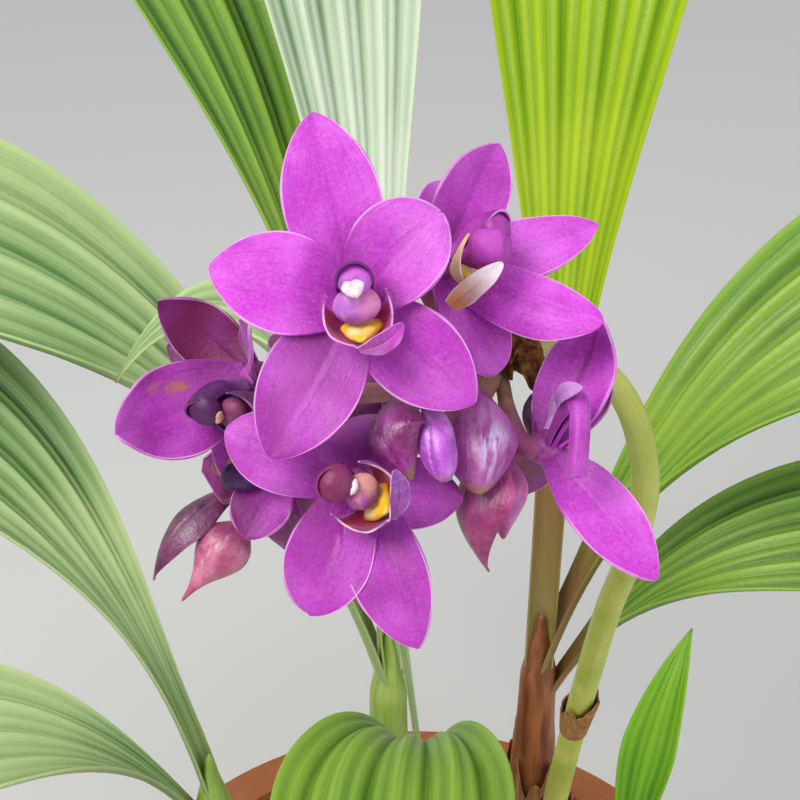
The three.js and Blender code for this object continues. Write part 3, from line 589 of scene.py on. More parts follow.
# The angle in degrees from which an edge is left sharp or, on the pot, bevelled.
CREASE_ANGLES = {"blade": 50, "pot": 30, "bevel": 35, "chip": 40}
# Corners of a seam that lie this close are merged.
SEAM_MERGE = 0.001

# Tones that differ from bloom to bloom, as sRGB codes.
# Of a column: its hood, the inside and the rim of the hood, the left and right of its face, and its cap.
# The bloom at the back has the front bloom's tones.
# The rows of the left and lower_left blooms are their tones darkened with painted shade, as those blooms lie
# in the shade.
COLUMN_TONES = {
    "front": ("8f3c9a", "c45acb", "6a2478", "b062c0", "d07cb2", "f6dfea"),
    "upper_right": ("a832a4", "a838a4", "dd92dc", "b63eb4", "a8389e", "a53aa2"),
    "left": ("551f63", "58205c", "7a3a80", "6c2c68", "80305e", "dba598"),
    "lower": ("741a50", "7e1f5a", "8a2c66", "aa4f96", "c68882", "f6dfe4"),
    "right": ("b67abc", "9a5ca8", "d9b2de", "b784c4", "b07a94", "c894c8"),
    "lower_left": ("481c5a", "481c5a", "6a3474", "5a2462", "5a2a50", "6a3474"),
}
# Of a lip: its outer wall near the foot and near the front, its hollow, and its rim.
# The rows of the left and right blooms are their lip tones darkened with painted shade, as their throats lie
# in the shade.
LIP_TONES = {
    "front": ("9a3f92", "b42fb2", "a82868", "e2a2dc"),
    "upper_right": ("ee9a4c", "f4c898", "7d1440", "f4d8da"),
    "claw": ("ee9a4c", "fdecf4", "7d1440", "f9e2ec"),
    "tongue": ("9c5aae", "cf88d8", "8c4a94", "e8bce8"),
    "left": ("4e1c5c", "58205f", "6c1c46", "a8649a"),
    "lower": ("7d2f86", "7a2c90", "9a1c40", "e6b4c4"),
    "right": ("4a2050", "5b2a66", "4b1c44", "c7a4c0"),
    "lower_left": ("a83a9a", "a83a9a", "6c1c46", "c070b4"),
}
# Of a callus: its main tone, its creamy patches, and its brim. The second row is the yellow callus
# darkened with painted shade, for blooms in the shade.
CALLUS_TONES = {"front": ("efc02c", "f7e0a4", "c8662c"), "dull": ("9c5a54", "7d3850", "7d3850")}
# Of a bud: its main tone and its light tone.
BUD_TONES = {
    "left": ("ac44c0", "cc7adc"),
    "middle": ("b44a9c", "d58ccb"),
    "lower": ("ac3c86", "c86aac"),
    "far_left": ("b04878", "d0809c"),
}
# Of a bract: its main tone and its flush.
BRACT_TONES = {
    "left": ("741a5e", "a0328e"),
    "middle": ("9c3e8e", "c460b2"),
    "lower": ("8e2b62", "ae4684"),
    "far_left": ("5c204a", "84406c"),
}
# Of a leaf: its furrows, darkened with painted shade, its ridges, lightened with painted light, and the
# tone of its sunny patches.
LEAF_TONES = {
    "green": ("41701f", "86b03f", "a2bf3a"),
    "grey": ("4f7d3c", "a9c483", "c6d69b"),
    # The pale row is a painted reflection: a leaf's glossy shine painted into its colour.
    "pale": ("7f9f72", "cfdcc4", "e9efe2"),
    "yellow": ("6f9a14", "a6c31c", "c0cf2c"),
    "fresh": ("4f9414", "7fb81e", "a5c93a"),
}
# Height of the finest relief of flesh and skins, and how deep light goes into them, in metres.
FINE_RELIEF = 0.0001
FLESH_DEPTH = 0.001

# The studio, in metres and watts
FLOOR_SIZE = 8
SKY = {"Color": (0.93, 0.96, 1.0, 1), "Strength": 0.55}
# Of each light: its place from the head, its size, its power and its colour.
LIGHTS = {
    "key": ((-0.45, -0.35, 0.75), 0.5, 9, (1.0, 0.97, 0.92)),
    "fill": ((0.8, -0.5, 0.35), 0.9, 4, (0.95, 0.97, 1.0)),
}
CLIP_START = 0.01


def srgb(code):
    """The linear colour of a six-digit sRGB code."""
    channels = [int(code[i : i + 2], 16) / 255 for i in (0, 2, 4)]
    return tuple(c / 12.92 if c <= 0.04045 else ((c + 0.055) / 1.055) ** 2.4 for c in channels)


def tones_of(table, kind):
    """The colours in one row of a table of sRGB codes."""
    return [srgb(code) for code in table[kind]]


def shifted(colour, gain, lift=0.0):
    """A colour made darker or lighter: each part of it times gain, plus lift."""
    return tuple(min(1, gain * part + lift) for part in colour)


# Properties


def length(name, description, default):
    """A length in metres, with its default given in millimetres."""
    return bpy.props.FloatProperty(
        name=name, description=description, default=default * MM, min=0, unit="LENGTH", precision=5
    )


def tint(name, description, default):
    """A colour, with its default given as an sRGB code."""
    return bpy.props.FloatVectorProperty(
        name=name, description=description, default=srgb(default), subtype="COLOR", size=3, min=0, max=1
    )


class OrchidSizes(bpy.types.PropertyGroup):
    """Sizes of the fine forms that a user may change."""

    tepal_thickness: length("Tepal thickness", "Thickness of a sepal or petal", 0.45)
    leaf_thickness: length("Leaf thickness", "Thickness of a leaf blade", 0.55)
    lip_thickness: length("Lip thickness", "Thickness of the wall of a lip", 0.24)
    petal_ripple: length("Petal ripple", "How far the edge of a petal waves", 0.26)
    leaf_ridge: length("Leaf ridge", "Height of the fine ridges of a leaf 50 mm wide", 0.65)
    bark_chip: length("Bark chip", "Length of a middling chip of bark", 12)
    bark_chips: bpy.props.IntProperty(
        name="Bark chips",
        description="Chips strewn on the mix, before those too near a shoot are left out",
        default=520,
        min=0,
    )
    seed: bpy.props.IntProperty(name="Seed", description="Seed of the chance variation", default=5)


class OrchidColours(bpy.types.PropertyGroup):
    """Main colours that a user may change."""

    petal: tint("Petal", "Face of the sepals and petals", "c83ccc")
    petal_light: tint("Petal light", "Lighter flush of the petals", "e26ee8")
    petal_shade: tint("Petal shade", "Violet of the petals' shaded parts", "6e186c")
    # Petal deep is the painted deep shade of petals in the shade, and the real maroon of strong midribs and
    # of flecks on the stalks.
    petal_deep: tint("Petal deep", "Maroon of the oldest petals", "6c1044")
    petal_edge: tint("Petal edge", "Thin pale edge of the petals", "efbdea")
    stem: tint("Stem", "Flower stem", "adb84a")
    sheath: tint("Sheath", "Dry sheaths", "7c4a26")
    bark: tint("Bark", "Chips of the mix", "5a3d28")
    clay: tint("Clay", "Pot", "b0643f")
    floor: tint("Floor", "Studio floor", "e2e1de")


def sizes():
    """The sizes in use."""
    return bpy.context.scene.orchid_sizes


def colours():
    """The colours in use."""
    return bpy.context.scene.orchid_colours


# Curves


def lerp(start, end, share):
    """The value a share of the way from start to end."""
    return start + (end - start) * share


def smoothstep(value, low, high):
    """A smooth rise from 0 at low to 1 at high."""
    share = min(1.0, max(0.0, (value - low) / (high - low)))
    return share * share * (3 - 2 * share)


def bell(value, width):
    """A bell curve: 1 at 0, and near 0 from two widths on."""
    return math.exp(-((value / width) ** 2))


def round_z(turn, radius=1.0, up=0.0):
    """The place at an angle round the Z axis, a radius out and this high."""
    return Vector((radius * math.cos(turn), radius * math.sin(turn), up))


def ball_ring(along):
    """Of a unit ball: a ring's angle from its lower pole, and the ring's radius."""
    tall = math.pi * along
    return tall, math.sin(tall) if 0 < along < 1 else 0


def quadratic(start, middle, end, share):
    """A point and its way on a curve with one handle."""
    point = start * (1 - share) ** 2 + middle * (2 * share * (1 - share)) + end * share**2
    way = (middle - start) * (1 - share) + (end - middle) * share
    return point, way.normalized()


def cubic(a, b, c, d, share):
    """A point and its way on a curve with two handles."""
    rest = 1 - share
    point = a * rest**3 + b * (3 * rest**2 * share) + c * (3 * rest * share**2) + d * share**3
    way = (b - a) * rest**2 + (c - b) * (2 * rest * share) + (d - c) * share**2
    return point, way.normalized()


def between(rows, along):
    """The values of a table's rows at along, which is each row's first value, eased from row to row."""
    for low, high in zip(rows, rows[1:]):
        if along <= high[0]:
            share = smoothstep(along, low[0], high[0]) * 0.5 + 0.5 * (along - low[0]) / (high[0] - low[0])
            return [lerp(a, b, share) for a, b in zip(low[1:], high[1:])]
    return list(rows[-1][1:])


def smooth(rows, along):
    """The values of a table's rows at along, on a smooth curve through all the rows."""
    last = len(rows) - 2
    i = min(last, max(0, sum(row[0] <= along for row in rows) - 1))
    one, two = rows[i], rows[i + 1]
    zero, three = rows[max(0, i - 1)], rows[min(last + 1, i + 2)]
    span = two[0] - one[0]
    part = (along - one[0]) / span
    values = []
    for a, b, c, d in zip(zero[1:], one[1:], two[1:], three[1:]):
        leave = (c - a) * span / (two[0] - zero[0])
        arrive = (d - b) * span / (three[0] - one[0])
        square = 3 * (c - b) - 2 * leave - arrive
        cube = 2 * (b - c) + leave + arrive
        values.append(b + leave * part + square * part**2 + cube * part**3)
    return values


class Path:
    """A smooth centripetal path through points, measured by its length, with a frame that doesn't twist."""

    SAMPLES = 240

    def __init__(self, points):
        self.points = [Vector(point) for point in points]
        self.places = [self.raw(i / self.SAMPLES) for i in range(self.SAMPLES + 1)]
        self.runs = [0.0]
        for before, after in zip(self.places, self.places[1:]):
            self.runs.append(self.runs[-1] + (after - before).length)
        self.frames = self.carry_frames()

    def raw(self, share):
        """A point by its share of the spans, whatever their lengths."""
        points = self.points
        span = min(int(share * (len(points) - 1)), len(points) - 2)
        part = share * (len(points) - 1) - span
        one, two = points[span], points[span + 1]
        zero = points[span - 1] if span > 0 else one * 2 - two
        three = points[span + 2] if span + 2 < len(points) else two * 2 - one
        d0, d1, d2 = [(b - a).length ** 0.5 for a, b in ((zero, one), (one, two), (two, three))]
        d1 = d1 or 1.0
        d0, d2 = d0 or d1, d2 or d1
        way_one = ((one - zero) / d0 - (two - zero) / (d0 + d1) + (two - one) / d1) * d1
        way_two = ((two - one) / d1 - (three - one) / (d1 + d2) + (three - two) / d2) * d1
        square = (two - one) * 3 - way_one * 2 - way_two
        cube = (one - two) * 2 + way_one + way_two
        return one + way_one * part + square * part**2 + cube * part**3

    def carry_frames(self):
        """The way, side and up at each sample, carried along without twist."""
        frames = []
        side = None
        for i in range(len(self.places)):
            low, high = max(0, i - 1), min(len(self.places) - 1, i + 1)
            way = (self.places[high] - self.places[low]).normalized()
            if side is None:
                side = way.orthogonal()
            side = (side - way * side.dot(way)).normalized()
            frames.append((way, side.copy(), way.cross(side)))
        return frames

    def at(self, share):
        """The point, way, side and up at a share of the length."""
        target = min(1.0, max(0.0, share)) * self.runs[-1]
        low, high = 0, len(self.runs) - 1
        while high - low > 1:
            middle = (low + high) // 2
            low, high = (middle, high) if self.runs[middle] <= target else (low, middle)
        part = (target - self.runs[low]) / (self.runs[high] - self.runs[low])
        way, side, up = [lerp(a, b, part) for a, b in zip(self.frames[low], self.frames[high])]
        place = lerp(self.places[low], self.places[high], part)
        return place, way.normalized(), side.normalized(), up.normalized()


# Modelling


def deselect():
    """Leaves nothing selected."""
    bpy.ops.object.select_all(action="DESELECT")


def grid(name, rows, columns, move):
    """A grid primitive whose corners go to move(along, across), with along 0 to 1 and across -1 to 1."""
    deselect()
    bpy.ops.mesh.primitive_grid_add(x_subdivisions=columns, y_subdivisions=rows, size=2)
    sheet = bpy.context.active_object
    sheet.name = sheet.data.name = name
    for corner in sheet.data.vertices:
        corner.co = move((corner.co.y + 1) / 2, corner.co.x)
    sheet.data.update()
    return sheet


def make_active(piece):
    """Selects one piece alone."""
    deselect()
    piece.select_set(True)
    bpy.context.view_layer.objects.active = piece


def corner_place(i, rows, columns):
    """Along, from 0 to 1, and across, from -1 to 1, of a grid's corner by its number."""
    return i // (columns + 1) / rows, 2 * (i % (columns + 1)) / columns - 1


def mark(piece, name, value):
    """Gives each corner a number that a finish reads by name: one for all, or value(index, place)."""
    layer = piece.data.attributes.new(name, "FLOAT", "POINT")
    for i, corner in enumerate(piece.data.vertices):
        layer.data[i].value = value(i, corner.co) if callable(value) else value


def blade(name, move, rows, columns, thickness, finishes, marks=None):
    """A thin closed blade, with a finish for its face, its back and its rim."""
    sheet = grid(name, rows, columns, move)
    for finish in finishes:
        sheet.data.materials.append(finish)
    for mark_name, value in (marks or {}).items():
        mark(sheet, mark_name, value)
    wall = sheet.modifiers.new("wall", "SOLIDIFY")
    wall.thickness = thickness
    wall.offset = 0
    wall.material_offset = 1
    wall.material_offset_rim = 2
    bpy.ops.object.modifier_apply(modifier="wall")
    bpy.ops.object.shade_smooth_by_angle(angle=math.radians(CREASE_ANGLES["blade"]))
    return sheet


def rolled(name, move, rows, sides, finish):
    """A closed round body: a grid rolled up to move(along, turn), its seam merged and its ends closed.

    At along 0 and at along 1, move gives one place for all turns."""
    body = grid(name, rows, sides, lambda along, across: move(along, math.pi * (across + 1)))
    body.data.materials.append(finish)
    bpy.ops.object.mode_set(mode="EDIT")
    bpy.ops.mesh.select_all(action="SELECT")
    bpy.ops.mesh.remove_doubles(threshold=SEAM_MERGE)
    bpy.ops.mesh.normals_make_consistent(inside=False)
    bpy.ops.object.mode_set(mode="OBJECT")
    bpy.ops.object.shade_smooth()
    return body


def stalk(name, path, radius_at, rows, sides, finish):
    """A round stalk along a path, with radius_at(along, turn) and closed ends."""

    def move(along, turn):
        point, _, side, up = path.at(along)
        radius = radius_at(along, turn) if 0 < along < 1 else 0
        return point + (side * math.cos(turn) + up * math.sin(turn)) * radius

    return rolled(name, move, rows, sides, finish)


def lobe(name, centre, radii, finish, size, bumps=0.0):
    """A rounded lobe with a little unevenness."""
    centre = Vector(centre)

    def move(along, turn):
        tall, ring = ball_ring(along)
        out = round_z(turn, ring, -math.cos(tall))
        swell = 1 + bumps * noise.noise(out * 2.3 + centre)
        return centre + Vector([a * b * swell for a, b in zip(out, radii)])

    return rolled(name, move, *size, finish)


def joined(name, parts):
    """One piece out of several."""
    deselect()
    for part in parts:
        part.select_set(True)
    bpy.context.view_layer.objects.active = parts[0]
    if len(parts) > 1:
        bpy.ops.object.join()
    piece = bpy.context.active_object
    piece.name = piece.data.name = name
    return piece


def seat(piece, node, place=Matrix.Identity(4)):
    """Puts a finished piece in the frame, where it stands for a node."""
    piece.data.transform(Matrix.Scale(MM, 4) @ place)
    piece.data.update()
    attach(piece, BODY)
    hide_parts(node)
    return piece


# Finishes


class Finish:
    """A material whose nodes are put together with short calls."""

    def __init__(self, name, sockets):
        self.material = bpy.data.materials.new(name)
        self.material.use_nodes = True
        self.nodes = self.material.node_tree.nodes
        self.links = self.material.node_tree.links
        self.shader = self.nodes["Principled BSDF"]
        for socket, value in sockets.items():
            self.shader.inputs[socket].default_value = value

    def feed(self, socket, value):
        """Links a socket, or sets a number or a colour."""
        if isinstance(value, bpy.types.NodeSocket):
            self.links.new(value, socket)
        elif hasattr(value, "__len__") and len(value) == 3 and socket.type == "RGBA":
            socket.default_value = (*value, 1)
        else:
            socket.default_value = value

    def put(self, kind, inputs, output=0, **settings):
        """Adds a node and gives one of its outputs."""
        node = self.nodes.new(kind)
        for name, value in settings.items():
            setattr(node, name, value)
        for key, value in inputs.items():
            self.feed(node.inputs[key], value)
        return node.outputs[output]

    def math(self, operation, *values):
        """A math node."""
        return self.put("ShaderNodeMath", dict(enumerate(values)), operation=operation)

    def mix(self, share, first, second):
        """A mix of two colours."""
        return self.put("ShaderNodeMix", {0: share, 6: first, 7: second}, output=2, data_type="RGBA")

    def spread(self, value, low, high):
        """A value stretched so that low becomes 0 and high becomes 1."""
        return self.put("ShaderNodeMapRange", {"Value": value, "From Min": low, "From Max": high})

    def place(self):
        """The place in the object, in metres."""
        return self.put("ShaderNodeTexCoord", {}, output="Object")

    def patches(self, scale, detail, low, high):
        """Soft patches: noise that is 0 below low and 1 above high."""
        return self.spread(self.noise(scale, detail), low, high)

    def across_along(self):
        """The two ways of the piece's own UV map."""
        uv = self.put("ShaderNodeTexCoord", {}, output="UV")
        split = self.put("ShaderNodeSeparateXYZ", {0: uv}).node
        return split.outputs[0], split.outputs[1]

    def from_middle(self, across):
        """How far from the piece's middle line: 0 on it, and 1 at its edges."""
        return self.math("ABSOLUTE", self.math("MULTIPLY_ADD", across, 2.0, -1.0))

    def marked(self, name):
        """A number that the mesh carries."""
        return self.put("ShaderNodeAttribute", {}, output="Fac", attribute_name=name)

    def noise(self, scale, detail=2.0, roughness=0.5, where=None):
        """Soft noise, with its scale per metre."""
        inputs = {"Vector": where or self.place(), "Scale": scale, "Detail": detail, "Roughness": roughness}
        return self.put("ShaderNodeTexNoise", inputs)

    def streaks(self, across, along, many, long):
        """Irregular streaks along the piece: so many across it, and so many along it."""
        cells = {0: self.math("MULTIPLY", across, float(many)), 1: self.math("MULTIPLY", along, float(long))}
        return self.noise(1.0, 2, 0.6, self.put("ShaderNodeCombineXYZ", cells))

    def tinted(self, colour, share, value, tone):
        """A colour mixed towards a tone where a value from 0 to 1 is high, by share at most."""
        return self.mix(self.math("MULTIPLY", value, share), colour, tone)

    def bumpy(self, height, distance):
        """Relief that is this many metres high."""
        bump = self.put("ShaderNodeBump", {"Height": height, "Distance": distance})
        self.links.new(bump, self.shader.inputs["Normal"])

    def coloured(self, colour):
        """Feeds the colour and gives the finished material."""
        self.feed(self.shader.inputs["Base Color"], colour)
        return self.material


MADE = {}


def finish_of(name, make):
    """A finish by its name, made on its first use."""
    if name not in MADE:
        MADE[name] = make(name)
    return MADE[name]


def petal_finish(main, light, edge_share):
    """A petal's surface: flushed and mottled, with the faintest veins and a thin pale margin."""

    def make(name):
        tones = colours()
        finish = Finish(
            name,
            {
                "Roughness": 0.48,
                "Specular IOR Level": 0.35,
                "Sheen Weight": 0.2,
                "Sheen Roughness": 0.4,
                "Subsurface Weight": 0.12,
                "Subsurface Scale": 0.0012,
                "Subsurface Radius": (1.0, 0.35, 0.9),
            },
        )
        across, along = finish.across_along()
        off = finish.from_middle(across)
        grain = finish.noise(2100, 3, 0.75)
        flush = finish.mix(finish.patches(120, 3, 0.42, 0.72), main, light)
        foot = finish.tinted(flush, 0.6, finish.spread(along, 0.34, 0.04), tones.petal_shade)
        veins = finish.spread(finish.streaks(across, along, 30, 2.4), 0.52, 0.75)
        veined = finish.tinted(foot, 0.26, veins, tones.petal_shade)
        rib = finish.math("MULTIPLY", finish.spread(off, 0.05, 0.0), finish.spread(along, 1.0, 0.3))
        ribbed = finish.tinted(veined, 0.24, rib, tones.petal_shade)
        strong = finish.math("MULTIPLY", finish.spread(off, 0.16, 0.02), finish.marked("rib"))
        strong_ribbed = finish.mix(strong, ribbed, tones.petal_deep)
        dappled = finish.tinted(strong_ribbed, 0.26, finish.spread(grain, 0.5, 0.34), tones.petal_shade)
        sparkling = finish.tinted(dappled, 0.42, finish.spread(grain, 0.53, 0.7), light)
        # The deep mark paints shade: first the violet of petal_shade, then, where it is deepest, the maroon
        # of petal_deep.
        deep = finish.marked("deep")
        shaded = finish.mix(deep, sparkling, tones.petal_shade)
        deep_shaded = finish.tinted(shaded, 0.85, finish.spread(deep, 0.4, 0.95), tones.petal_deep)
        spotted = finish.mix(finish.marked("scar"), deep_shaded, srgb("b9783f"))
        free = finish.math("MULTIPLY", finish.spread(off, 0.96, 0.985), finish.spread(along, 0.24, 0.42))
        margin = finish.math("MULTIPLY", free, edge_share)
        relief = finish.math("MULTIPLY_ADD", veins, 0.3, finish.noise(1300, 2, 0.6))
        finish.bumpy(relief, FINE_RELIEF)
        return finish.coloured(finish.mix(margin, spotted, tones.petal_edge))

    return make


def petal_edge_finish(name):
    """The thin pale rim of a petal."""
    tones = colours()
    finish = Finish(name, {"Roughness": 0.45, "Subsurface Weight": 0.2, "Subsurface Scale": FLESH_DEPTH})
    cloud = finish.patches(300, 2, 0.35, 0.65)
    pale = finish.mix(cloud, tones.petal_edge, tones.petal_light)
    _, along = finish.across_along()
    merged = finish.mix(finish.spread(along, 0.42, 0.24), pale, tones.petal)
    # The deep mark paints shade on the rim as on the face.
    return finish.coloured(finish.tinted(merged, 0.8, finish.marked("deep"), tones.petal_shade))


def petal_finishes():
    """Face, back and rim of a petal."""
    tones = colours()
    return (
        finish_of("petal_face", petal_finish(tones.petal, tones.petal_light, 0.7)),
        finish_of("petal_back", petal_finish(tones.petal, tones.petal, 0.5)),
        finish_of("petal_edge", petal_edge_finish),
    )


def stalk_finish(name):
    """An ovary and stalk: magenta that pales to a brownish green."""
    tones = colours()
    finish = Finish(name, {"Roughness": 0.5, "Subsurface Weight": 0.1, "Subsurface Scale": FLESH_DEPTH})
    _, along = finish.across_along()
    pale = finish.mix(finish.spread(along, 0.2, 0.8), srgb("a4497f"), srgb("a58a62"))
    cloud = finish.patches(500, 3, 0.4, 0.7)
    finish.bumpy(finish.noise(1800, 2), FINE_RELIEF)
    return finish.coloured(finish.tinted(pale, 0.4, cloud, tones.petal_deep))


def lip_finishes(kind):
    """Outer wall, hollow and rim of a lip or of its front lobe."""
    kind = kind if kind in LIP_TONES else "front"
    foot, front, hollow, rim = tones_of(LIP_TONES, kind)

    def outer(name):
        finish = Finish(name, {"Roughness": 0.5, "Sheen Weight": 0.05, "Subsurface Weight": 0.1})
        _, along = finish.across_along()
        wall = finish.mix(finish.spread(along, 0.15, 0.6), foot, front)
        cloud = finish.patches(420, 3, 0.4, 0.7)
        flushed = finish.tinted(wall, 0.35, cloud, shifted(front, 0.45))
        grain = finish.noise(1500, 3, 0.7)
        finish.bumpy(grain, FINE_RELIEF)
        return finish.coloured(finish.tinted(flushed, 0.12, finish.spread(grain, 0.52, 0.7), rim))

    def inner(name):
        finish = Finish(name, {"Roughness": 0.4, "Sheen Weight": 0.2, "Subsurface Weight": 0.06})
        across, along = finish.across_along()
        off = finish.from_middle(across)
        veins = finish.spread(finish.streaks(across, along, 24, 3), 0.4, 0.66)
        deep = finish.tinted(hollow, 0.6, veins, shifted(hollow, 1.9))
        fronted = finish.mix(finish.spread(along, 0.62, 0.85), deep, front)
        finish.bumpy(finish.noise(1200, 3), FINE_RELIEF)
        return finish.coloured(finish.tinted(fronted, 0.8, finish.spread(off, 0.8, 0.98), front))

    def edge(name):
        finish = Finish(name, {"Roughness": 0.42})
        cloud = finish.patches(500, 2, 0.42, 0.62)
        return finish.coloured(finish.tinted(rim, 0.6, cloud, front))

    return (
        finish_of(f"lip_wall_{kind}", outer),
        finish_of(f"lip_hollow_{kind}", inner),
        finish_of(f"lip_rim_{kind}", edge),
    )


def callus_finish(tone, cream, brim):
    """A waxy cushion with creamy patches, and hotter in colour along its edge."""

    def make(name):
        finish = Finish(name, {"Roughness": 0.35, "Subsurface Weight": 0.2, "Subsurface Scale": FLESH_DEPTH})
        grain = finish.noise(1100, 3, 0.6)
        creamy = finish.mix(finish.patches(420, 3, 0.46, 0.62), tone, cream)
        edged = finish.tinted(creamy, 0.7, finish.marked("brim"), brim)
        finish.bumpy(grain, 0.0002)
        return finish.coloured(finish.tinted(edged, 0.3, finish.spread(grain, 0.52, 0.7), brim))

    return make


def face_finish(left, right, foot):
    """A column's fleshy face: one tone runs into another across it, and painted shade darkens its foot."""

    def make(name):
        look = {"Roughness": 0.55, "Subsurface Weight": 0.15, "Subsurface Scale": FLESH_DEPTH}
        finish = Finish(name, look)
        grain = finish.noise(900, 3)
        side = finish.math("MULTIPLY_ADD", grain, 0.5, finish.math("ADD", finish.marked("side"), -0.25))
        low = finish.tinted(finish.mix(side, left, right), 0.7, finish.marked("low"), foot)
        light = shifted(right, 1.35, 0.06)
        finish.bumpy(grain, FINE_RELIEF)
        return finish.coloured(finish.tinted(low, 0.4, finish.spread(grain, 0.5, 0.72), light))

    return make


def hood_finish(tone):
    """The outside of a column's hood: paler at its foot, and darker at its tip."""

    def make(name):
        finish = Finish(name, {"Roughness": 0.38, "Subsurface Weight": 0.1, "Subsurface Scale": FLESH_DEPTH})
        _, along = finish.across_along()
        grain = finish.noise(1200, 3, 0.7)
        light = shifted(tone, 1.5, 0.08)
        pale = finish.tinted(tone, 0.7, finish.spread(along, 0.45, 0.1), light)
        tip = finish.tinted(pale, 0.55, finish.spread(along, 0.72, 1.0), shifted(tone, 0.3))
        finish.bumpy(grain, FINE_RELIEF)
        return finish.coloured(finish.tinted(tip, 0.3, finish.spread(grain, 0.5, 0.7), light))

    return make


def plain_flesh(tone, shade, rough=0.52):
    """Soft plant flesh in one tone with a little unevenness."""

    def make(name):
        look = {"Roughness": rough, "Subsurface Weight": 0.2, "Subsurface Scale": FLESH_DEPTH}
        finish = Finish(name, look)
        grain = finish.noise(900, 3)
        finish.bumpy(grain, FINE_RELIEF)
        return finish.coloured(finish.mix(finish.spread(grain, 0.38, 0.7), tone, shade))

    return make


def bract_finish(main, light):
    """The glossy skin of a hooded bract: mottled, with a painted bluish highlight, and pale brown at its
    tip.
    """

    def make(name):
        look = {"Roughness": 0.36, "Coat Weight": 0.2, "Coat Roughness": 0.3, "Specular IOR Level": 0.5}
        finish = Finish(name, look)
        across, along = finish.across_along()
        grain = finish.noise(1000, 3, 0.7)
        flush = finish.mix(finish.patches(210, 3, 0.4, 0.64), main, light)
        dark = shifted(main, 0.35)
        mottled = finish.tinted(flush, 0.5, finish.spread(grain, 0.5, 0.32), dark)
        speckled = finish.tinted(mottled, 0.18, finish.spread(grain, 0.55, 0.72), srgb("c66ab6"))
        streaks = finish.streaks(across, along, 13, 4)
        # A painted bluish highlight in streaks, where the mark puts it.
        gleam = finish.math("MULTIPLY", finish.spread(streaks, 0.4, 0.6), finish.marked("gleam"))
        highlighted = finish.tinted(speckled, 0.85, gleam, srgb("d6c8ee"))
        tip = finish.mix(finish.spread(along, 0.84, 0.97), highlighted, srgb("8c6d44"))
        finish.bumpy(finish.math("MULTIPLY_ADD", streaks, 1.2, grain), 0.00016)
        return finish.coloured(tip)

    return make


def bud_finish(main, light):
    """A closed bud, with pale seams between its three outer sepals."""

    def make(name):
        finish = Finish(
            name,
            {
                "Roughness": 0.36,
                "Sheen Weight": 0.15,
                "Subsurface Weight": 0.1,
                "Subsurface Scale": FLESH_DEPTH,
            },
        )
        dark = shifted(main, 0.4)
        across, along = finish.across_along()
        grain = finish.noise(1100, 3, 0.7)
        flush = finish.mix(finish.patches(260, 3, 0.4, 0.66), main, light)
        veins = finish.spread(finish.streaks(across, along, 26, 2.5), 0.5, 0.7)
        veined = finish.tinted(flush, 0.3, veins, dark)
        mottled = finish.tinted(veined, 0.4, finish.spread(grain, 0.5, 0.34), dark)
        foot = finish.tinted(mottled, 0.5, finish.spread(along, 0.4, 0.0), srgb("7c2a66"))
        tip = finish.tinted(foot, 0.7, finish.spread(along, 0.9, 1.0), srgb("8a5a3c"))
        finish.bumpy(grain, FINE_RELIEF)
        return finish.coloured(finish.mix(finish.marked("seam"), tip, srgb("f2c6ea")))

    return make


def leaf_finish(furrow, ridge, sunny):
    """A pleated leaf: lighter ridges and darker furrows of painted light and shade, fine parallel veins
    and a satin face.
    """

    def make(name):
        finish = Finish(
            name,
            {
                "Roughness": 0.4,
                "Specular IOR Level": 0.45,
                "Subsurface Weight": 0.05,
                "Subsurface Scale": 2 * FLESH_DEPTH,
            },
        )
        across, along = finish.across_along()
        # Painted shade in the furrows and painted light on the ridges, where the ridge mark says.
        base = finish.mix(finish.spread(finish.marked("ridge"), 0.15, 0.85), furrow, ridge)
        veins = finish.streaks(across, along, 110, 5)
        veined = finish.tinted(base, 0.4, finish.spread(veins, 0.5, 0.68), ridge)
        lined = finish.tinted(veined, 0.3, finish.spread(veins, 0.5, 0.34), furrow)
        sunlit = finish.tinted(lined, 0.5, finish.patches(16, 3, 0.42, 0.64), sunny)
        rust = finish.mix(finish.marked("rust"), sunlit, srgb("8a5230"))
        foot = finish.tinted(rust, 0.6, finish.spread(along, 0.16, 0.0), srgb("a9b36a"))
        tip = finish.tinted(foot, 0.8, finish.spread(along, 0.965, 1.0), srgb("8a6a34"))
        finish.bumpy(finish.math("ADD", veins, finish.noise(700, 2)), 0.00012)
        return finish.coloured(tip)

    return make


def core_finish(name):
    """A swollen foot and false stem: green, with brown papery scars low down, or rusty all over."""
    finish = Finish(name, {"Roughness": 0.5, "Subsurface Weight": 0.05, "Subsurface Scale": 2 * FLESH_DEPTH})
    _, along = finish.across_along()
    streaks = finish.put("ShaderNodeMapping", {"Vector": finish.place(), "Scale": (1.0, 1.0, 0.12)})
    fibre = finish.noise(420, 3, where=streaks)
    green = finish.mix(finish.spread(fibre, 0.35, 0.7), srgb("7fa03a"), srgb("a9bd62"))
    low = finish.mix(finish.spread(along, 0.42, 0.2), green, srgb("6f5a2c"))
    rusty = finish.mix(finish.spread(fibre, 0.36, 0.66), srgb("6e3c1e"), srgb("a8663a"))
    finish.bumpy(fibre, 0.0003)
    return finish.coloured(finish.mix(finish.marked("rust"), low, rusty))


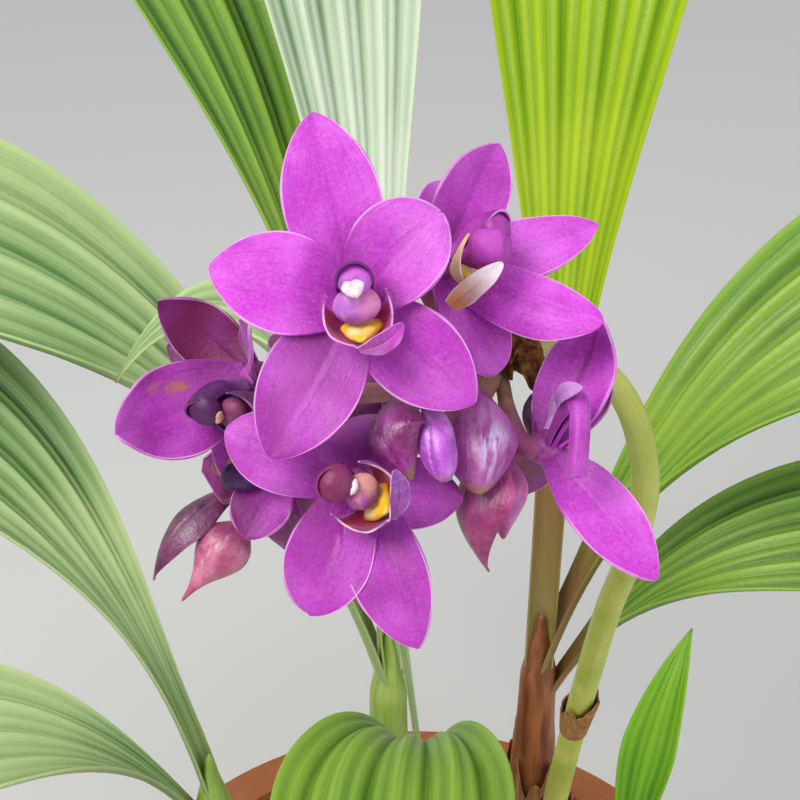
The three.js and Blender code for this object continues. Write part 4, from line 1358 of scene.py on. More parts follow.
def sheath_finish(name):
    """A dry papery sheath with long fibres."""
    tones = colours()
    finish = Finish(name, {"Roughness": 0.75, "Specular IOR Level": 0.25})
    streaks = finish.put("ShaderNodeMapping", {"Vector": finish.place(), "Scale": (1.0, 1.0, 0.06)})
    fibre = finish.noise(1100, 4, 0.65, where=streaks)
    brown = finish.mix(finish.spread(fibre, 0.32, 0.7), tones.sheath, srgb("b98a55"))
    blotch = finish.patches(90, 3, 0.5, 0.7)
    finish.bumpy(fibre, 0.0004)
    return finish.coloured(finish.mix(finish.math("MULTIPLY", blotch, 0.6), brown, srgb("3d2413")))


def stem_finish(name):
    """The flower stem: yellow-green, with fine long streaks and a pinkish brown flush at its top end."""
    tones = colours()
    finish = Finish(name, {"Roughness": 0.42, "Subsurface Weight": 0.1, "Subsurface Scale": 2 * FLESH_DEPTH})
    across, along = finish.across_along()
    fine = finish.streaks(across, along, 34, 9)
    cloud = finish.patches(120, 3, 0.35, 0.7)
    base = finish.mix(cloud, tones.stem, srgb("c6c766"))
    streaked = finish.tinted(base, 0.3, finish.spread(fine, 0.5, 0.7), srgb("7f9338"))
    flushed = finish.mix(finish.spread(along, 0.9, 1.0), streaked, srgb("9a5a6a"))
    finish.bumpy(fine, 0.00012)
    return finish.coloured(flushed)


def withered_finish(name):
    """A dried bloom: brown and crumpled."""
    finish = Finish(name, {"Roughness": 0.85, "Specular IOR Level": 0.2})
    crumple = finish.noise(800, 4, 0.65)
    finish.bumpy(crumple, 0.0005)
    return finish.coloured(finish.mix(finish.spread(crumple, 0.35, 0.68), srgb("4a2a16"), srgb("a06a35")))


def bark_finish(name):
    """Bark chips, each in its own tone."""
    tones = colours()
    finish = Finish(name, {"Roughness": 0.9, "Specular IOR Level": 0.2})
    grain = finish.noise(450, 4, 0.65)
    base = finish.mix(finish.marked("tone"), srgb("2c1c12"), tones.bark)
    worn = finish.mix(finish.spread(grain, 0.45, 0.75), base, srgb("8a6543"))
    finish.bumpy(grain, 0.0012)
    return finish.coloured(worn)


def clay_finish(name):
    """Unglazed clay: fine grain, throwing lines, a damp foot and a little lime bloom."""
    tones = colours()
    finish = Finish(name, {"Roughness": 0.88, "Specular IOR Level": 0.25})
    height = finish.put("ShaderNodeSeparateXYZ", {0: finish.place()}, output=2)
    grain = finish.noise(700, 4, 0.65)
    cloud = finish.patches(16, 4, 0.35, 0.7)
    base = finish.mix(cloud, tones.clay, srgb("c57d52"))
    speckled = finish.tinted(base, 0.45, finish.spread(grain, 0.55, 0.75), srgb("8a4a2c"))
    wander = finish.math("MULTIPLY_ADD", finish.noise(20, 3), 0.05, -0.02)
    damp = finish.spread(finish.math("ADD", height, wander), 0.045, 0.012)
    wet = finish.mix(finish.math("MULTIPLY", damp, 0.55), speckled, srgb("7d4630"))
    lime = finish.math("MULTIPLY", finish.spread(finish.noise(38, 5, 0.7), 0.58, 0.74), 0.4)
    bloomed = finish.mix(lime, wet, srgb("dcc9b4"))
    rings = finish.math("SINE", finish.math("MULTIPLY", height, 2600.0))
    finish.bumpy(finish.math("MULTIPLY_ADD", rings, 0.12, grain), 0.0004)
    return finish.coloured(bloomed)


def floor_finish(name):
    """A plain pale floor."""
    finish = Finish(name, {"Roughness": 0.9, "Specular IOR Level": 0.1})
    cloud = finish.patches(3, 2, 0.3, 0.7)
    tones = colours()
    return finish.coloured(finish.mix(finish.math("MULTIPLY", cloud, 0.04), tones.floor, srgb("cfcfcc")))


# Blooms


def tepal_outline(along, foot, peak, blunt, end):
    """Half-width share of a tepal: a narrow foot, its widest at peak, and a tip rounded by blunt."""
    if along < peak:
        return lerp(foot, 1, math.sin(math.pi / 2 * along / peak))
    return max(end, (1 - ((along - peak) / (1 - peak)) ** 2) ** blunt)


def eased(share):
    """Where a row of a blade lies along it: the rows stand closer towards the tip."""
    return 1 - (1 - share) ** ROW_EASING


def tepal_surface(base, tip, facing, width, form, ripple, phase):
    """The middle of a tepal, bract or other hooded blade, as move(along, across)."""
    form = {**USUAL_FORM, **form}
    outline = [form[key] for key in ("foot", "peak", "blunt", "end")]
    wrap = form["wrap"]
    direction = (tip - base).normalized()
    side = direction.cross(facing).normalized()
    side.rotate(Quaternion(direction, math.radians(form["roll"])))
    out = side.cross(direction).normalized()
    middle = (base + tip) / 2 + out * (2 * form["arch"]) + side * (2 * form["bow"])
    end = tip - out * form["curl"]
    crease_depth, crease_width = TEPAL_CREASE["depth"], TEPAL_CREASE["half_width"]

    def move(share, across):
        along = eased(share)
        point, way = quadratic(base, middle, end, along)
        up = side.cross(way).normalized()
        half = width / 2 * tepal_outline(along, *outline)
        angle = across * wrap
        radius = half / wrap
        turns = TEPAL_WAVES * along + phase + 0.3 * across
        wave = ripple * abs(across) ** 3 * math.sin(2 * math.pi * turns)
        crease = -crease_depth * bell(across, crease_width) * math.sin(math.pi * min(1, along + 0.1))
        swell = TEPAL_SWELL * math.sin(math.pi * abs(across)) * min(1, 3 * along)
        lift = radius * (1 - math.cos(angle)) + (wave + crease + swell) * min(1, half / 2)
        return point + side * (radius * math.sin(angle)) + up * lift

    return move


def ends_of(row):
    """Where a blade starts, where its tip is, and which way it faces."""
    return [Vector(row[key]) for key in ("base", "tip", "faces")]


def throat_frame(bloom):
    """The turn from a throat's frame to the head's."""
    z = Vector(bloom["facing"]).normalized()
    y = Vector(bloom["up"])
    y = (y - z * y.dot(z)).normalized()
    return Matrix((y.cross(z), y, z)).transposed().to_4x4()


def bloom_stalk(name, root, backwards, via, joint, thick, finish):
    """The ovary and stalk of a bloom or bud."""
    if via is None:
        via = (root + backwards * (joint - root).length * PEDICEL["straight"]).lerp(joint, 0.25)
    path = Path([root, via, joint])

    def radius(along, turn):
        ribs = 1 + PEDICEL["ribs"] * math.cos(6 * turn) * smoothstep(along, 0.6, 0.1)
        return lerp(thick, PEDICEL["thin"], smoothstep(along, 0.3, 0.75)) * ribs

    return stalk(name, path, radius, *GRIDS["stalk"], finish)


def tepal_marks(form):
    """How much painted shade darkens a tepal, how strong its midrib is, and where brown scars lie on it."""

    def deep(_, place):
        return form.get("deep", 0.0) * (0.9 + 0.35 * noise.noise(place * 0.22))

    def scar(i, place):
        share, across = corner_place(i, *GRIDS["tepal"])
        along = eased(share)
        spots = [bell(along - at, size) * bell(across - off, 1.6 * size) for at, off, size in form["scars"]]
        return sum(spots) * (0.8 + 0.6 * noise.noise(place * 1.7))

    marks = {"deep": deep, "rib": form.get("rib", 0.0)}
    return {**marks, "scar": scar} if "scars" in form else marks


def make_tepals(name, bloom, rng):
    """The five tepals of a bloom, with the knot that they meet at and the stalk."""
    outwards = Vector(bloom["facing"]).normalized()
    looks = outwards.lerp(Vector((0, 0, 1)), 0.5)
    thickness = sizes().tepal_thickness / MM
    ripple = sizes().petal_ripple / MM
    parts = []
    for tip, width, form in bloom["tepals"]:
        facing = Vector(form["facing"]) if "facing" in form else looks
        tip = Vector(tip)
        move = tepal_surface(tip * TEPAL_FOOT, tip, facing, width, form, ripple, rng.random())
        marks = tepal_marks(form)
        parts.append(blade(f"{name}_tepal", move, *GRIDS["tepal"], thickness, petal_finishes(), marks))
    flesh = finish_of("knot_flesh", plain_flesh(srgb("b04aa8"), srgb("8a2f7c")))
    parts.append(lobe(f"{name}_knot", KNOT_CENTRE, (KNOT_RADIUS,) * 3, flesh, GRIDS["knot"]))
    joint = Vector(bloom["joins"]) - Vector(bloom["centre"])
    via = Vector(bloom["via"]) if "via" in bloom else None
    skin = finish_of("stalk_skin", stalk_finish)
    root = Vector((0, 0, 0))
    parts.append(bloom_stalk(f"{name}_stalk", root, -outwards, via, joint, PEDICEL["ovary"], skin))
    return joined(f"{name}_tepal_whorl", parts)


def anther_cap(name, centre, radii, finish):
    """The cap at the mouth of the hood: two lobes that a crease parts above and that meet below."""

    def move(along, turn):
        tall, ring = ball_ring(along)
        from_top = math.atan2(math.sin(turn - math.pi / 2), math.cos(turn - math.pi / 2))
        notch = 1 - ANTHER["notch"] * bell(from_top, ANTHER["notch_width"])
        rough = 1 + ANTHER["rough"] * noise.noise(round_z(turn, 2, tall))
        narrowed = 1 - ANTHER["narrowing"] * max(0.0, -math.sin(turn))
        x, y = ring * math.cos(turn) * narrowed * rough, ring * math.sin(turn) * notch * rough
        crease = 1 - ANTHER["crease"] * bell(x, ANTHER["crease_width"]) * (y > -0.2)
        out = Vector([a * b for a, b in zip((x, y, -math.cos(tall) * crease), radii)])
        return Vector(centre) + Matrix.Rotation(ANTHER["tilt"], 3, "Z") @ out

    return rolled(name, move, *GRIDS["anther"], finish)


def column_face(name, centre, radii, finish):
    """The fleshy face below the hood's mouth: two soft humps, narrower at the top, with a faint furrow."""
    middle = Vector(centre)

    def move(along, turn):
        tall, ring = ball_ring(along)
        x, y, _ = round_z(turn, ring)
        humps = sum(height * bell(x - at, wide) for at, wide, height in FACE_HUMPS)
        at, wide, depth = FACE_FURROW
        furrow = depth * bell(x - at, wide) * smoothstep(y, 0.4, -0.3)
        rough = FACE["rough"] * noise.noise(Vector((3 * x, 3 * y, tall)))
        narrowed = 1 - FACE["narrowing"] * max(0.0, y)
        out = (x * narrowed, y, -math.cos(tall) * (1 + humps - furrow + rough))
        return middle + Vector([a * b for a, b in zip(out, radii)])

    body = rolled(name, move, *GRIDS["face"], finish)
    mark(body, "side", lambda i, place: smoothstep((place.x - middle.x) / radii[0], -0.3, 0.4))
    # The low mark is where painted shade darkens the lower part of the face.
    mark(body, "low", lambda i, place: smoothstep((place.y - middle.y) / radii[1], -0.35, -1.0))
    return body


def make_column(name, kind):
    """The column: a thin hood over its body, with the anther cap at its mouth and a soft face below."""
    axis = Path([Vector((0, row[0], row[1])) for row in HOOD])
    steps = [(i / (len(HOOD) - 1), row[2], row[3]) for i, row in enumerate(HOOD)]

    def hood(share, across):
        along = share * (1 - HOOD_CUT["share"] * abs(across) ** HOOD_CUT["power"])
        radius, wrap = smooth(steps, along)
        point, way, _, _ = axis.at(along)
        up = Vector((1, 0, 0)).cross(way) * -1
        angle = across * wrap
        return point + Vector((1, 0, 0)) * (radius * math.sin(angle)) + up * (radius * math.cos(angle))

    throat = THROATS[THROAT_KINDS.get(kind, "closed")]
    kind = kind if kind in COLUMN_TONES else "front"
    tone, within, edge, left, right, cap = tones_of(COLUMN_TONES, kind)
    skin = finish_of(f"column_hood_{kind}", hood_finish(tone))
    inside = finish_of(f"column_inside_{kind}", plain_flesh(within, shifted(within, 0.7)))
    rim = finish_of(f"column_rim_{kind}", plain_flesh(edge, shifted(edge, 0.7)))
    flesh = finish_of(f"column_face_{kind}", face_finish(left, right, tone))
    cap_skin = finish_of(f"anther_cap_{kind}", plain_flesh(cap, shifted(cap, 0.72), 0.35))
    body_path = Path([Vector((0, y, z)) for y, z in COLUMN_BODY])

    def body_radius(along, turn):
        return COLUMN_BODY_RADIUS * (0.7 + 0.3 * math.sin(math.pi * along))

    parts = [
        blade(f"{name}_hood", hood, *GRIDS["hood"], HOOD_THICKNESS, (inside, skin, rim)),
        stalk(f"{name}_body", body_path, body_radius, *GRIDS["column"], skin),
        lobe(f"{name}_plug", *throat["plug"], inside, GRIDS["plug"], bumps=0.03),
        anther_cap(f"{name}_anther", *throat["anther"], cap_skin),
        column_face(f"{name}_face", *throat["face"], flesh),
    ]
    return joined(f"{name}_column_hood", parts)


def lip_surface(along, across):
    """The wall of the lip: its place and the way into the cup."""
    half_arc, wrap = smooth(LIP_FORM, along)
    point, way = quadratic(*LIP_SPINE, along)
    side = Vector((1, 0, 0))
    inward = way.cross(side).normalized()
    angle = across * wrap
    radius = half_arc / wrap
    place = point + side * (radius * math.sin(angle)) + inward * (radius * (1 - math.cos(angle)))
    return place, inward * math.cos(angle) - side * math.sin(angle)


def make_lip(name, kind):
    """The lip: a cup with two tall side lobes, and on some blooms a lobe that folds over at its front."""
    reach = LIP_REACH.get(kind, 1.0)

    def move(along, across):
        place, inward = lip_surface(along * reach, across)
        frill = LIP_FRILL["height"] * abs(across) ** 4 * math.sin(LIP_FRILL["waves"] * along)
        return place + inward * (frill + LIP_FRILL["lumps"] * noise.noise(place * 0.8))

    thickness = sizes().lip_thickness / MM
    parts = [blade(f"{name}_lip_cup", move, *GRIDS["lip"], thickness, lip_finishes(kind))]
    if kind in LIP_LOBES:
        folded, tones = LIP_LOBES[kind]
        form = folded["form"]
        surface = tepal_surface(*ends_of(folded), folded["width"], form, ripple=0.15, phase=0.3)
        skins = lip_finishes(tones)
        parts.append(blade(f"{name}_lip_lobe", surface, *GRIDS["lip_lobe"], thickness, skins))
    return joined(f"{name}_lip_cup", parts)


def make_callus(name, kind):
    """The callus: a two-lobed cushion along the floor of the lip."""
    reach = LIP_REACH.get(kind, 1.0)
    lean = CALLUS_LEAN.get(kind, 0.0)

    def move(share, turn):
        along = lerp(CALLUS_FORM[0][0], CALLUS_FORM[-1][0], share)
        half_width, half_height = smooth(CALLUS_FORM, along)
        if share in (0, 1):
            half_width = half_height = 0
        place, inward = lip_surface(along * reach, 0)
        depth, width = CALLUS_CLEFT["depth"], CALLUS_CLEFT["width"]
        cleft = 1 - depth * bell(math.cos(turn), width) * (math.sin(turn) > 0)
        bumps = 1 + 0.12 * noise.noise(Vector((4 * share, 2 * math.cos(turn), 2 * math.sin(turn))))
        seat_height = 1.5 * SEAT_GAP + half_height
        side = Vector((half_width * math.cos(turn) * bumps + lean * (1 - share), 0, 0))
        return place + side + inward * (seat_height + half_height * math.sin(turn) * cleft * bumps)

    # A bloom in the shade gets its callus darkened with painted shade.
    shade = "dull" if kind in SHADED_CALLUSES else "front"
    finish = finish_of(f"callus_{shade}", callus_finish(*tones_of(CALLUS_TONES, shade)))
    cushion = rolled(f"{name}_callus_cushion", move, *GRIDS["callus"], finish)
    widest = max(abs(corner.co.x) for corner in cushion.data.vertices)
    mark(cushion, "brim", lambda i, place: smoothstep(abs(place.x) / widest, 0.6, 1.0))
    return cushion


# Buds, bracts and the withered bloom


def make_bud(name, kind, bud):
    """A closed bud, marked with the seams of its three sepals, on its stalk."""
    base, tip = Vector(bud["base"]), Vector(bud["tip"])
    way = (tip - base).normalized()
    side = way.cross(Vector((0, 0, 1))).normalized()
    up = side.cross(way)
    shares = BUD_OUTLINES[bud.get("outline", "pointed")]
    outline = [(i / (len(shares) - 1), share) for i, share in enumerate(shares)]

    def wound(along, turn):
        return turn + BUD_SEAMS["slant"] * along - BUD_SEAMS["start"]

    def seam(along, turn, width):
        return bell(math.cos(1.5 * wound(along, turn)), width)

    def move(along, turn):
        (share,) = smooth(outline, along)
        depth = BUD_SEAMS["groove"] * math.sin(math.pi * along)
        groove = depth * seam(along, turn, BUD_SEAMS["groove_width"])
        radius = bud["radius"] * (share if 0 < along < 1 else 0) * (1 - groove)
        lobed = 1 + 0.05 * math.cos(3 * wound(along, turn))
        hook = up * (0.5 * along**3)
        flat = side * math.cos(turn) + up * (BUD_FLATTENED * math.sin(turn))
        return base.lerp(tip, along) + hook + flat * (radius * lobed)

    skin = finish_of(f"bud_skin_{kind}", bud_finish(*tones_of(BUD_TONES, kind)))
    body = rolled(f"{name}_sepals", move, *GRIDS["bud"], skin)

    def seam_mark(_, place):
        along = max(0, min(1, (place - base).dot(way) / (tip - base).length))
        flat = place - base.lerp(tip, along)
        turn = math.atan2(flat.dot(up) / BUD_FLATTENED, flat.dot(side))
        return 0.5 * seam(along, turn, BUD_SEAMS["line_width"]) * math.sin(math.pi * along) ** 0.5

    mark(body, "seam", seam_mark)
    thick = PEDICEL["bud_foot"]
    skin = finish_of("stalk_skin", stalk_finish)
    via, joint = Vector(bud["via"]), Vector(bud["joins"])
    foot = bloom_stalk(f"{name}_foot", base + way * thick, -way, via, joint, thick, skin)
    return joined(f"{name}_closed", [body, foot])


def make_bract(name, kind, bract):
    """A hooded bract, with a painted highlight in one place."""
    form = {**BRACT_FORM, **bract["form"]}
    move = tepal_surface(*ends_of(bract), form["width"], form, ripple=0.1, phase=0.2)

    def gleam(i, _):
        share, across = corner_place(i, *GRIDS["bract"])
        at, off, size, strength = bract["gleam"]
        return strength * bell(eased(share) - at, size) * bell(across - off, 1.3 * size)

    skin = finish_of(f"bract_skin_{kind}", bract_finish(*tones_of(BRACT_TONES, kind)))
    rim = finish_of("bract_rim", plain_flesh(srgb("c98cba"), srgb("94507a")))
    skins = (skin, skin, rim)
    return blade(f"{name}_hood", move, *GRIDS["bract"], BRACT_THICKNESS, skins, {"gleam": gleam})


def make_withered():
    """The dried early bloom: a crumpled body with a few curled shreds."""
    path = Path([row[:3] for row in WITHERED])
    steps = [(i / (len(WITHERED) - 1), *row[3:]) for i, row in enumerate(WITHERED)]

    def move(along, turn):
        point = path.at(along)[0]
        half_width, half_height = smooth(steps, along)
        if along in (0, 1):
            half_width = half_height = 0
        folds = 1 + 0.3 * noise.noise(round_z(turn, 3.5, 6 * along))
        side = Vector((half_width * math.cos(turn), 0, half_height * math.sin(turn)))
        return point + side * folds * (1 + 0.12 * math.cos(5 * turn + 4 * along))

    skin = finish_of("withered_skin", withered_finish)
    parts = [rolled("withered_body", move, *GRIDS["withered"], skin)]
    for shred in SHREDS:
        ends = [Vector(place) for place in (SHRED_FOOT, *shred)]
        surface = tepal_surface(*ends, SHRED_WIDTH, SHRED_FORM, ripple=0.35, phase=0.4)
        parts.append(blade("withered_shred", surface, *GRIDS["shred"], SHRED_THICKNESS, (skin,) * 3))
    return joined("withered_shreds", parts)


# Stem


def scape_path():
    """The flower stem's path in the head's frame."""
    back = HEAD.inverted()
    low = [back @ Vector(point) for point in (SCAPE_FOOT, SCAPE_LOW)]
    return Path(low + [Vector(point) for point in SCAPE_HEAD_POINTS])


def scape_radius(along):
    """The flower stem's radius at a share of its length."""
    hook = SCAPE["hook_from"]
    if along < hook:
        return lerp(SCAPE["foot_radius"], SCAPE["top_radius"], along / hook)
    return lerp(SCAPE["top_radius"], SCAPE["tip_radius"], (along - hook) / (1 - hook))


def make_stem():
    """The flower stem with its clasping bracts."""
    path = scape_path()

    def radius(along, turn):
        ring = sum(SCAPE_RING["height"] * bell(along - at, SCAPE_RING["share"]) for at in SCAPE_SHEATHS)
        return scape_radius(along) * (1 + 0.02 * math.cos(7 * turn)) + ring

    parts = [stalk("stem_rod", path, radius, *GRIDS["stem"], finish_of("stem_skin", stem_finish))]
    skin = finish_of("sheath_skin", sheath_finish)
    for at in SCAPE_SHEATHS:

        def clasp(along, across, at=at):
            turn = across * math.pi * CLASP["round"] + CLASP["faces"]
            torn = 0.75 + 0.25 * noise.noise(round_z(turn, 3, 9 * at))
            pointed = 1 - CLASP["pointed"] * abs(across) ** 1.5
            point, _, side, up = path.at(at + SCAPE_SHEATH_LENGTH * along * torn * pointed)
            radius_here = scape_radius(at) + CLASP["gap"] + CLASP["flare"] * along
            return point + (side * math.cos(turn) + up * math.sin(turn)) * radius_here

        parts.append(blade("stem_bract", clasp, *GRIDS["clasp"], CLASP["thickness"], (skin,) * 3))
    return joined("stem_and_bracts", parts)


# Shoots


def leaf_outline(along):
    """Half-width share of a leaf."""
    spread = lerp(LEAF["neck"], 1, smoothstep(along, LEAF["neck_to"], LEAF["widest_at"]))
    past = max(0, (along - LEAF["widest_at"]) / (1 - LEAF["widest_at"]))
    return max(LEAF["point"], spread * (1 - past ** LEAF["taper"]))


def pleats(across, folds):
    """How high the folds and the fine ridges stand across a leaf, each from -1 to 1."""
    angle = across * folds * math.pi
    return math.cos(angle), math.cos(angle * LEAF["ridges_per_fold"])


def leaf_height(across, folds, width, share, along):
    """How high the pleats stand at a place on the leaf."""
    grown = smoothstep(along, LEAF["neck_to"], LEAF["pleated_from"])
    main, fine = pleats(across, folds)
    ridge = sizes().leaf_ridge / MM * width / LEAF["ridge_width"]
    return (LEAF["fold_depth"] * width * main + ridge * fine) * share * grown


def leaf_surface(start, azimuth, reach, rise, drop, width, twist, folds):
    """The middle of a pleated leaf, as move(along, across)."""
    out = round_z(math.radians(azimuth))
    sideways = Vector((-out.y, out.x, 0))
    up = Vector((0, 0, 1))
    handles = [start + out * (reach * far) + up * (rise * high) for far, high in LEAF_HANDLES]
    end = start + out * reach + up * (rise - drop)

    def move(along, across):
        point, way = cubic(start, *handles, end, along)
        side = -sideways
        side.rotate(Quaternion(way, math.radians(twist) * smoothstep(along, 0.2, 0.9)))
        side = (side - way * side.dot(way)).normalized()
        above = side.cross(way).normalized()
        share = leaf_outline(along)
        wrap = lerp(*LEAF_GUTTER, smoothstep(along, 0.05, 0.5))
        angle = across * wrap
        radius = width / 2 * share / wrap
        wave = LEAF["wave"] * width * share * across**2 * math.sin(9 * along + 0.05 * azimuth)
        lift = radius * (1 - math.cos(angle)) + leaf_height(across, folds, width, share, along) + wave
        return point + side * (radius * math.sin(angle)) + above * lift

    return move


def make_leaf(name, start, leaf, rusty):
    """One pleated leaf."""
    azimuth, reach, rise, drop, width, twist, tone = leaf[1:]
    folds = LEAF["folds"] if width > LEAF["full_width"] else LEAF["folds"] // 2
    size = (LEAF["rows"], LEAF["columns_per_fold"] * folds)
    surface = leaf_surface(start, azimuth, reach, rise, drop, width, twist, folds)

    def ridge(i, _):
        main, fine = pleats(corner_place(i, *size)[1], folds)
        return 0.5 + 0.24 * main + 0.26 * fine

    def rust(i, _):
        return rusty * smoothstep(corner_place(i, *size)[0], 0.24, 0.1)

    skin = finish_of(f"leaf_skin_{tone}", leaf_finish(*tones_of(LEAF_TONES, tone)))
    marks = {"ridge": ridge, "rust": rust}
    return blade(name, surface, *size, sizes().leaf_thickness / MM, (skin,) * 3, marks)


def core_radius(height, tall):
    """The radius of a shoot's swollen foot and false stem at a height above the mix."""
    radius, above, below = BULB["radius"], BULB["above"], BULB["below"]
    rows = (
        *((-below * down, radius * wide) for down, wide in BULB_BELOW),
        *((above * up, radius * wide) for up, wide in BULB_ABOVE),
        (above, FALSE_STEM["foot"]),
        (tall * FALSE_STEM["tapers_from"], FALSE_STEM["top"]),
        (tall, FALSE_STEM["tip"]),
    )
    return between(rows, height)[0]


def make_shoot(name, shoot):
    """A leafy shoot: its swollen foot, its false stem and its leaves."""
    foot = Vector((*shoot["foot"], SOIL_TOP))
    tall = shoot["tall"]

    def move(along, turn):
        up = lerp(-BULB["below"], tall + 1, along)
        radius = core_radius(min(up, tall), tall) if 0 < along < 1 else 0
        lap = ((turn / math.pi + up / LAPS["rise"]) % 1) * LAPS["depth"]
        rings = LAPS["scar"] * math.sin(up * LAPS["scar_turns"]) * smoothstep(up, LAPS["scars_to"], 5)
        return foot + round_z(turn, radius * (1 + lap + rings - 0.03), up)

    core = rolled(f"{name}_core", move, *GRIDS["core"], finish_of("core_skin", core_finish))
    rusty = shoot.get("rust", 0.0)
    mark(core, "rust", rusty)
    parts = [core]
    for leaf in shoot["leaves"]:
        parts.append(make_leaf(f"{name}_leaf", foot + Vector((0, 0, leaf[0])), leaf, rusty))
    return joined(f"{name}_leafy_shoot", parts)


def make_sheath(name, shoot, rng):
    """Two torn papery sheaths, one over the other, round the foot of a false stem."""
    foot = Vector((*shoot["foot"], SOIL_TOP))
    tall = shoot["tall"]
    low, high = BULB["above"] - SHEATH["overlap"], tall * SHEATH["share"]
    skin = finish_of("sheath_skin", sheath_finish)
    parts = []
    for top, gap, faces in SHEATH_LAYERS:
        seed = 10 * rng.random()

        def move(along, across, top=top, gap=gap, faces=faces, seed=seed):
            turn = faces + across * math.pi * SHEATH["round"]
            rag = noise.noise(round_z(turn, 2.2, seed))
            fine = 0.3 * noise.noise(round_z(turn, 11, seed))
            torn = 0.86 + SHEATH["torn"] * rag + SHEATH["frayed"] * fine
            reach = top * torn * (1 - 0.3 * abs(across) ** 3)
            up = lerp(low, high, min(1.0, along * reach))
            fibres = 0.12 * math.sin(17 * turn) + 0.3 * noise.noise(Vector((2 * turn, up / 30, seed)))
            flare = SHEATH["flare"] * along**2 + 0.25 * across
            radius = core_radius(up, tall) * SHEATH["wider"] + gap + fibres + flare
            return foot + round_z(turn, radius, up)

        size = GRIDS["sheath"]
        parts.append(blade(f"{name}_sheath_layer", move, *size, SHEATH["thickness"], (skin,) * 3))
    return joined(f"{name}_torn_sheath", parts)


# Pot and bark


def pot_outer(up):
    """The pot's outer radius below its rim."""
    return lerp(POT["base_radius"], POT["top_radius"] - RIM["step"], up / POT["height"])


def extrude_ring(radius_from, radius_to, rise):
    """Extrudes the selected ring of edges up by rise, and widens it from one radius to another."""
    bpy.ops.mesh.extrude_edges_move(TRANSFORM_OT_translate={"value": (0, 0, rise)})
    share = radius_to / radius_from
    bpy.ops.transform.resize(value=(share, share, 1), center_override=(0, 0, 0))


def make_pot():
    """The clay pot: a ring extruded up its outside, over its rim and down its inside."""
    height, wall = POT["height"], POT["wall"]
    under_rim = height - RIM["height"]
    top = POT["top_radius"]
    profile = (
        (pot_outer(0), 0),
        (pot_outer(under_rim * 0.5), under_rim * 0.5),
        (pot_outer(under_rim), under_rim),
        (top, under_rim),
        (top, under_rim + RIM["height"] * 0.5),
        (top, height),
        (pot_outer(height) - wall, height),
        (pot_outer(height * 0.5) - wall, height * 0.5),
        (pot_outer(wall) - wall, wall),
    )
    deselect()
    bpy.ops.mesh.primitive_circle_add(vertices=POT["sides"], radius=profile[0][0], fill_type="NGON")
    pot = bpy.context.active_object
    pot.name = pot.data.name = "clay_pot"
    bpy.ops.object.mode_set(mode="EDIT")
    bpy.ops.mesh.select_mode(type="EDGE")
    bpy.ops.mesh.select_all(action="DESELECT")
    bpy.ops.mesh.select_non_manifold()
    for (radius, up), (radius_to, up_to) in zip(profile, profile[1:]):
        extrude_ring(radius, radius_to, up_to - up)
    bpy.ops.mesh.edge_face_add()
    bpy.ops.mesh.select_all(action="SELECT")
    bpy.ops.mesh.normals_make_consistent(inside=False)
    bpy.ops.object.mode_set(mode="OBJECT")
    for i in range(DRAIN["count"]):
        drill_hole(pot, 2 * math.pi * i / DRAIN["count"])
    make_active(pot)
    rounded = pot.modifiers.new("rounded", "BEVEL")
    rounded.width = POT["edge"]
    rounded.segments = 4
    rounded.limit_method = "ANGLE"
    rounded.angle_limit = math.radians(CREASE_ANGLES["bevel"])
    bpy.ops.object.modifier_apply(modifier="rounded")
    pot.data.materials.append(finish_of("clay", clay_finish))
    bpy.ops.object.shade_smooth_by_angle(angle=math.radians(CREASE_ANGLES["pot"]))
    return pot


def drill_hole(pot, angle):
    """Cuts one drain hole through the pot's floor."""
    deselect()
    bpy.ops.mesh.primitive_cylinder_add(
        vertices=32,
        radius=DRAIN["radius"],
        depth=3 * POT["wall"],
        location=round_z(angle, DRAIN["circle"], POT["wall"] / 2),
    )
    drill = bpy.context.active_object
    make_active(pot)
    hole = pot.modifiers.new("hole", "BOOLEAN")
    hole.object = drill
    hole.operation = "DIFFERENCE"
    hole.solver = "EXACT"
    bpy.ops.object.modifier_apply(modifier="hole")
    bpy.data.objects.remove(drill)


def chip_shapes(rng):
    """A few bark chips modelled from cubes, to be copied."""
    shapes = []
    for _ in range(CHIP["shapes"]):
        deselect()
        bpy.ops.mesh.primitive_cube_add(size=1)
        chip = bpy.context.active_object
        bpy.ops.object.mode_set(mode="EDIT")
        bpy.ops.mesh.select_all(action="SELECT")
        bpy.ops.mesh.subdivide(number_cuts=2, smoothness=0.35)
        bpy.ops.object.mode_set(mode="OBJECT")
        for corner in chip.data.vertices:
            corner.co += Vector([rng.uniform(-CHIP["jitter"], CHIP["jitter"]) for _ in range(3)])
        shapes.append(chip)
    return shapes


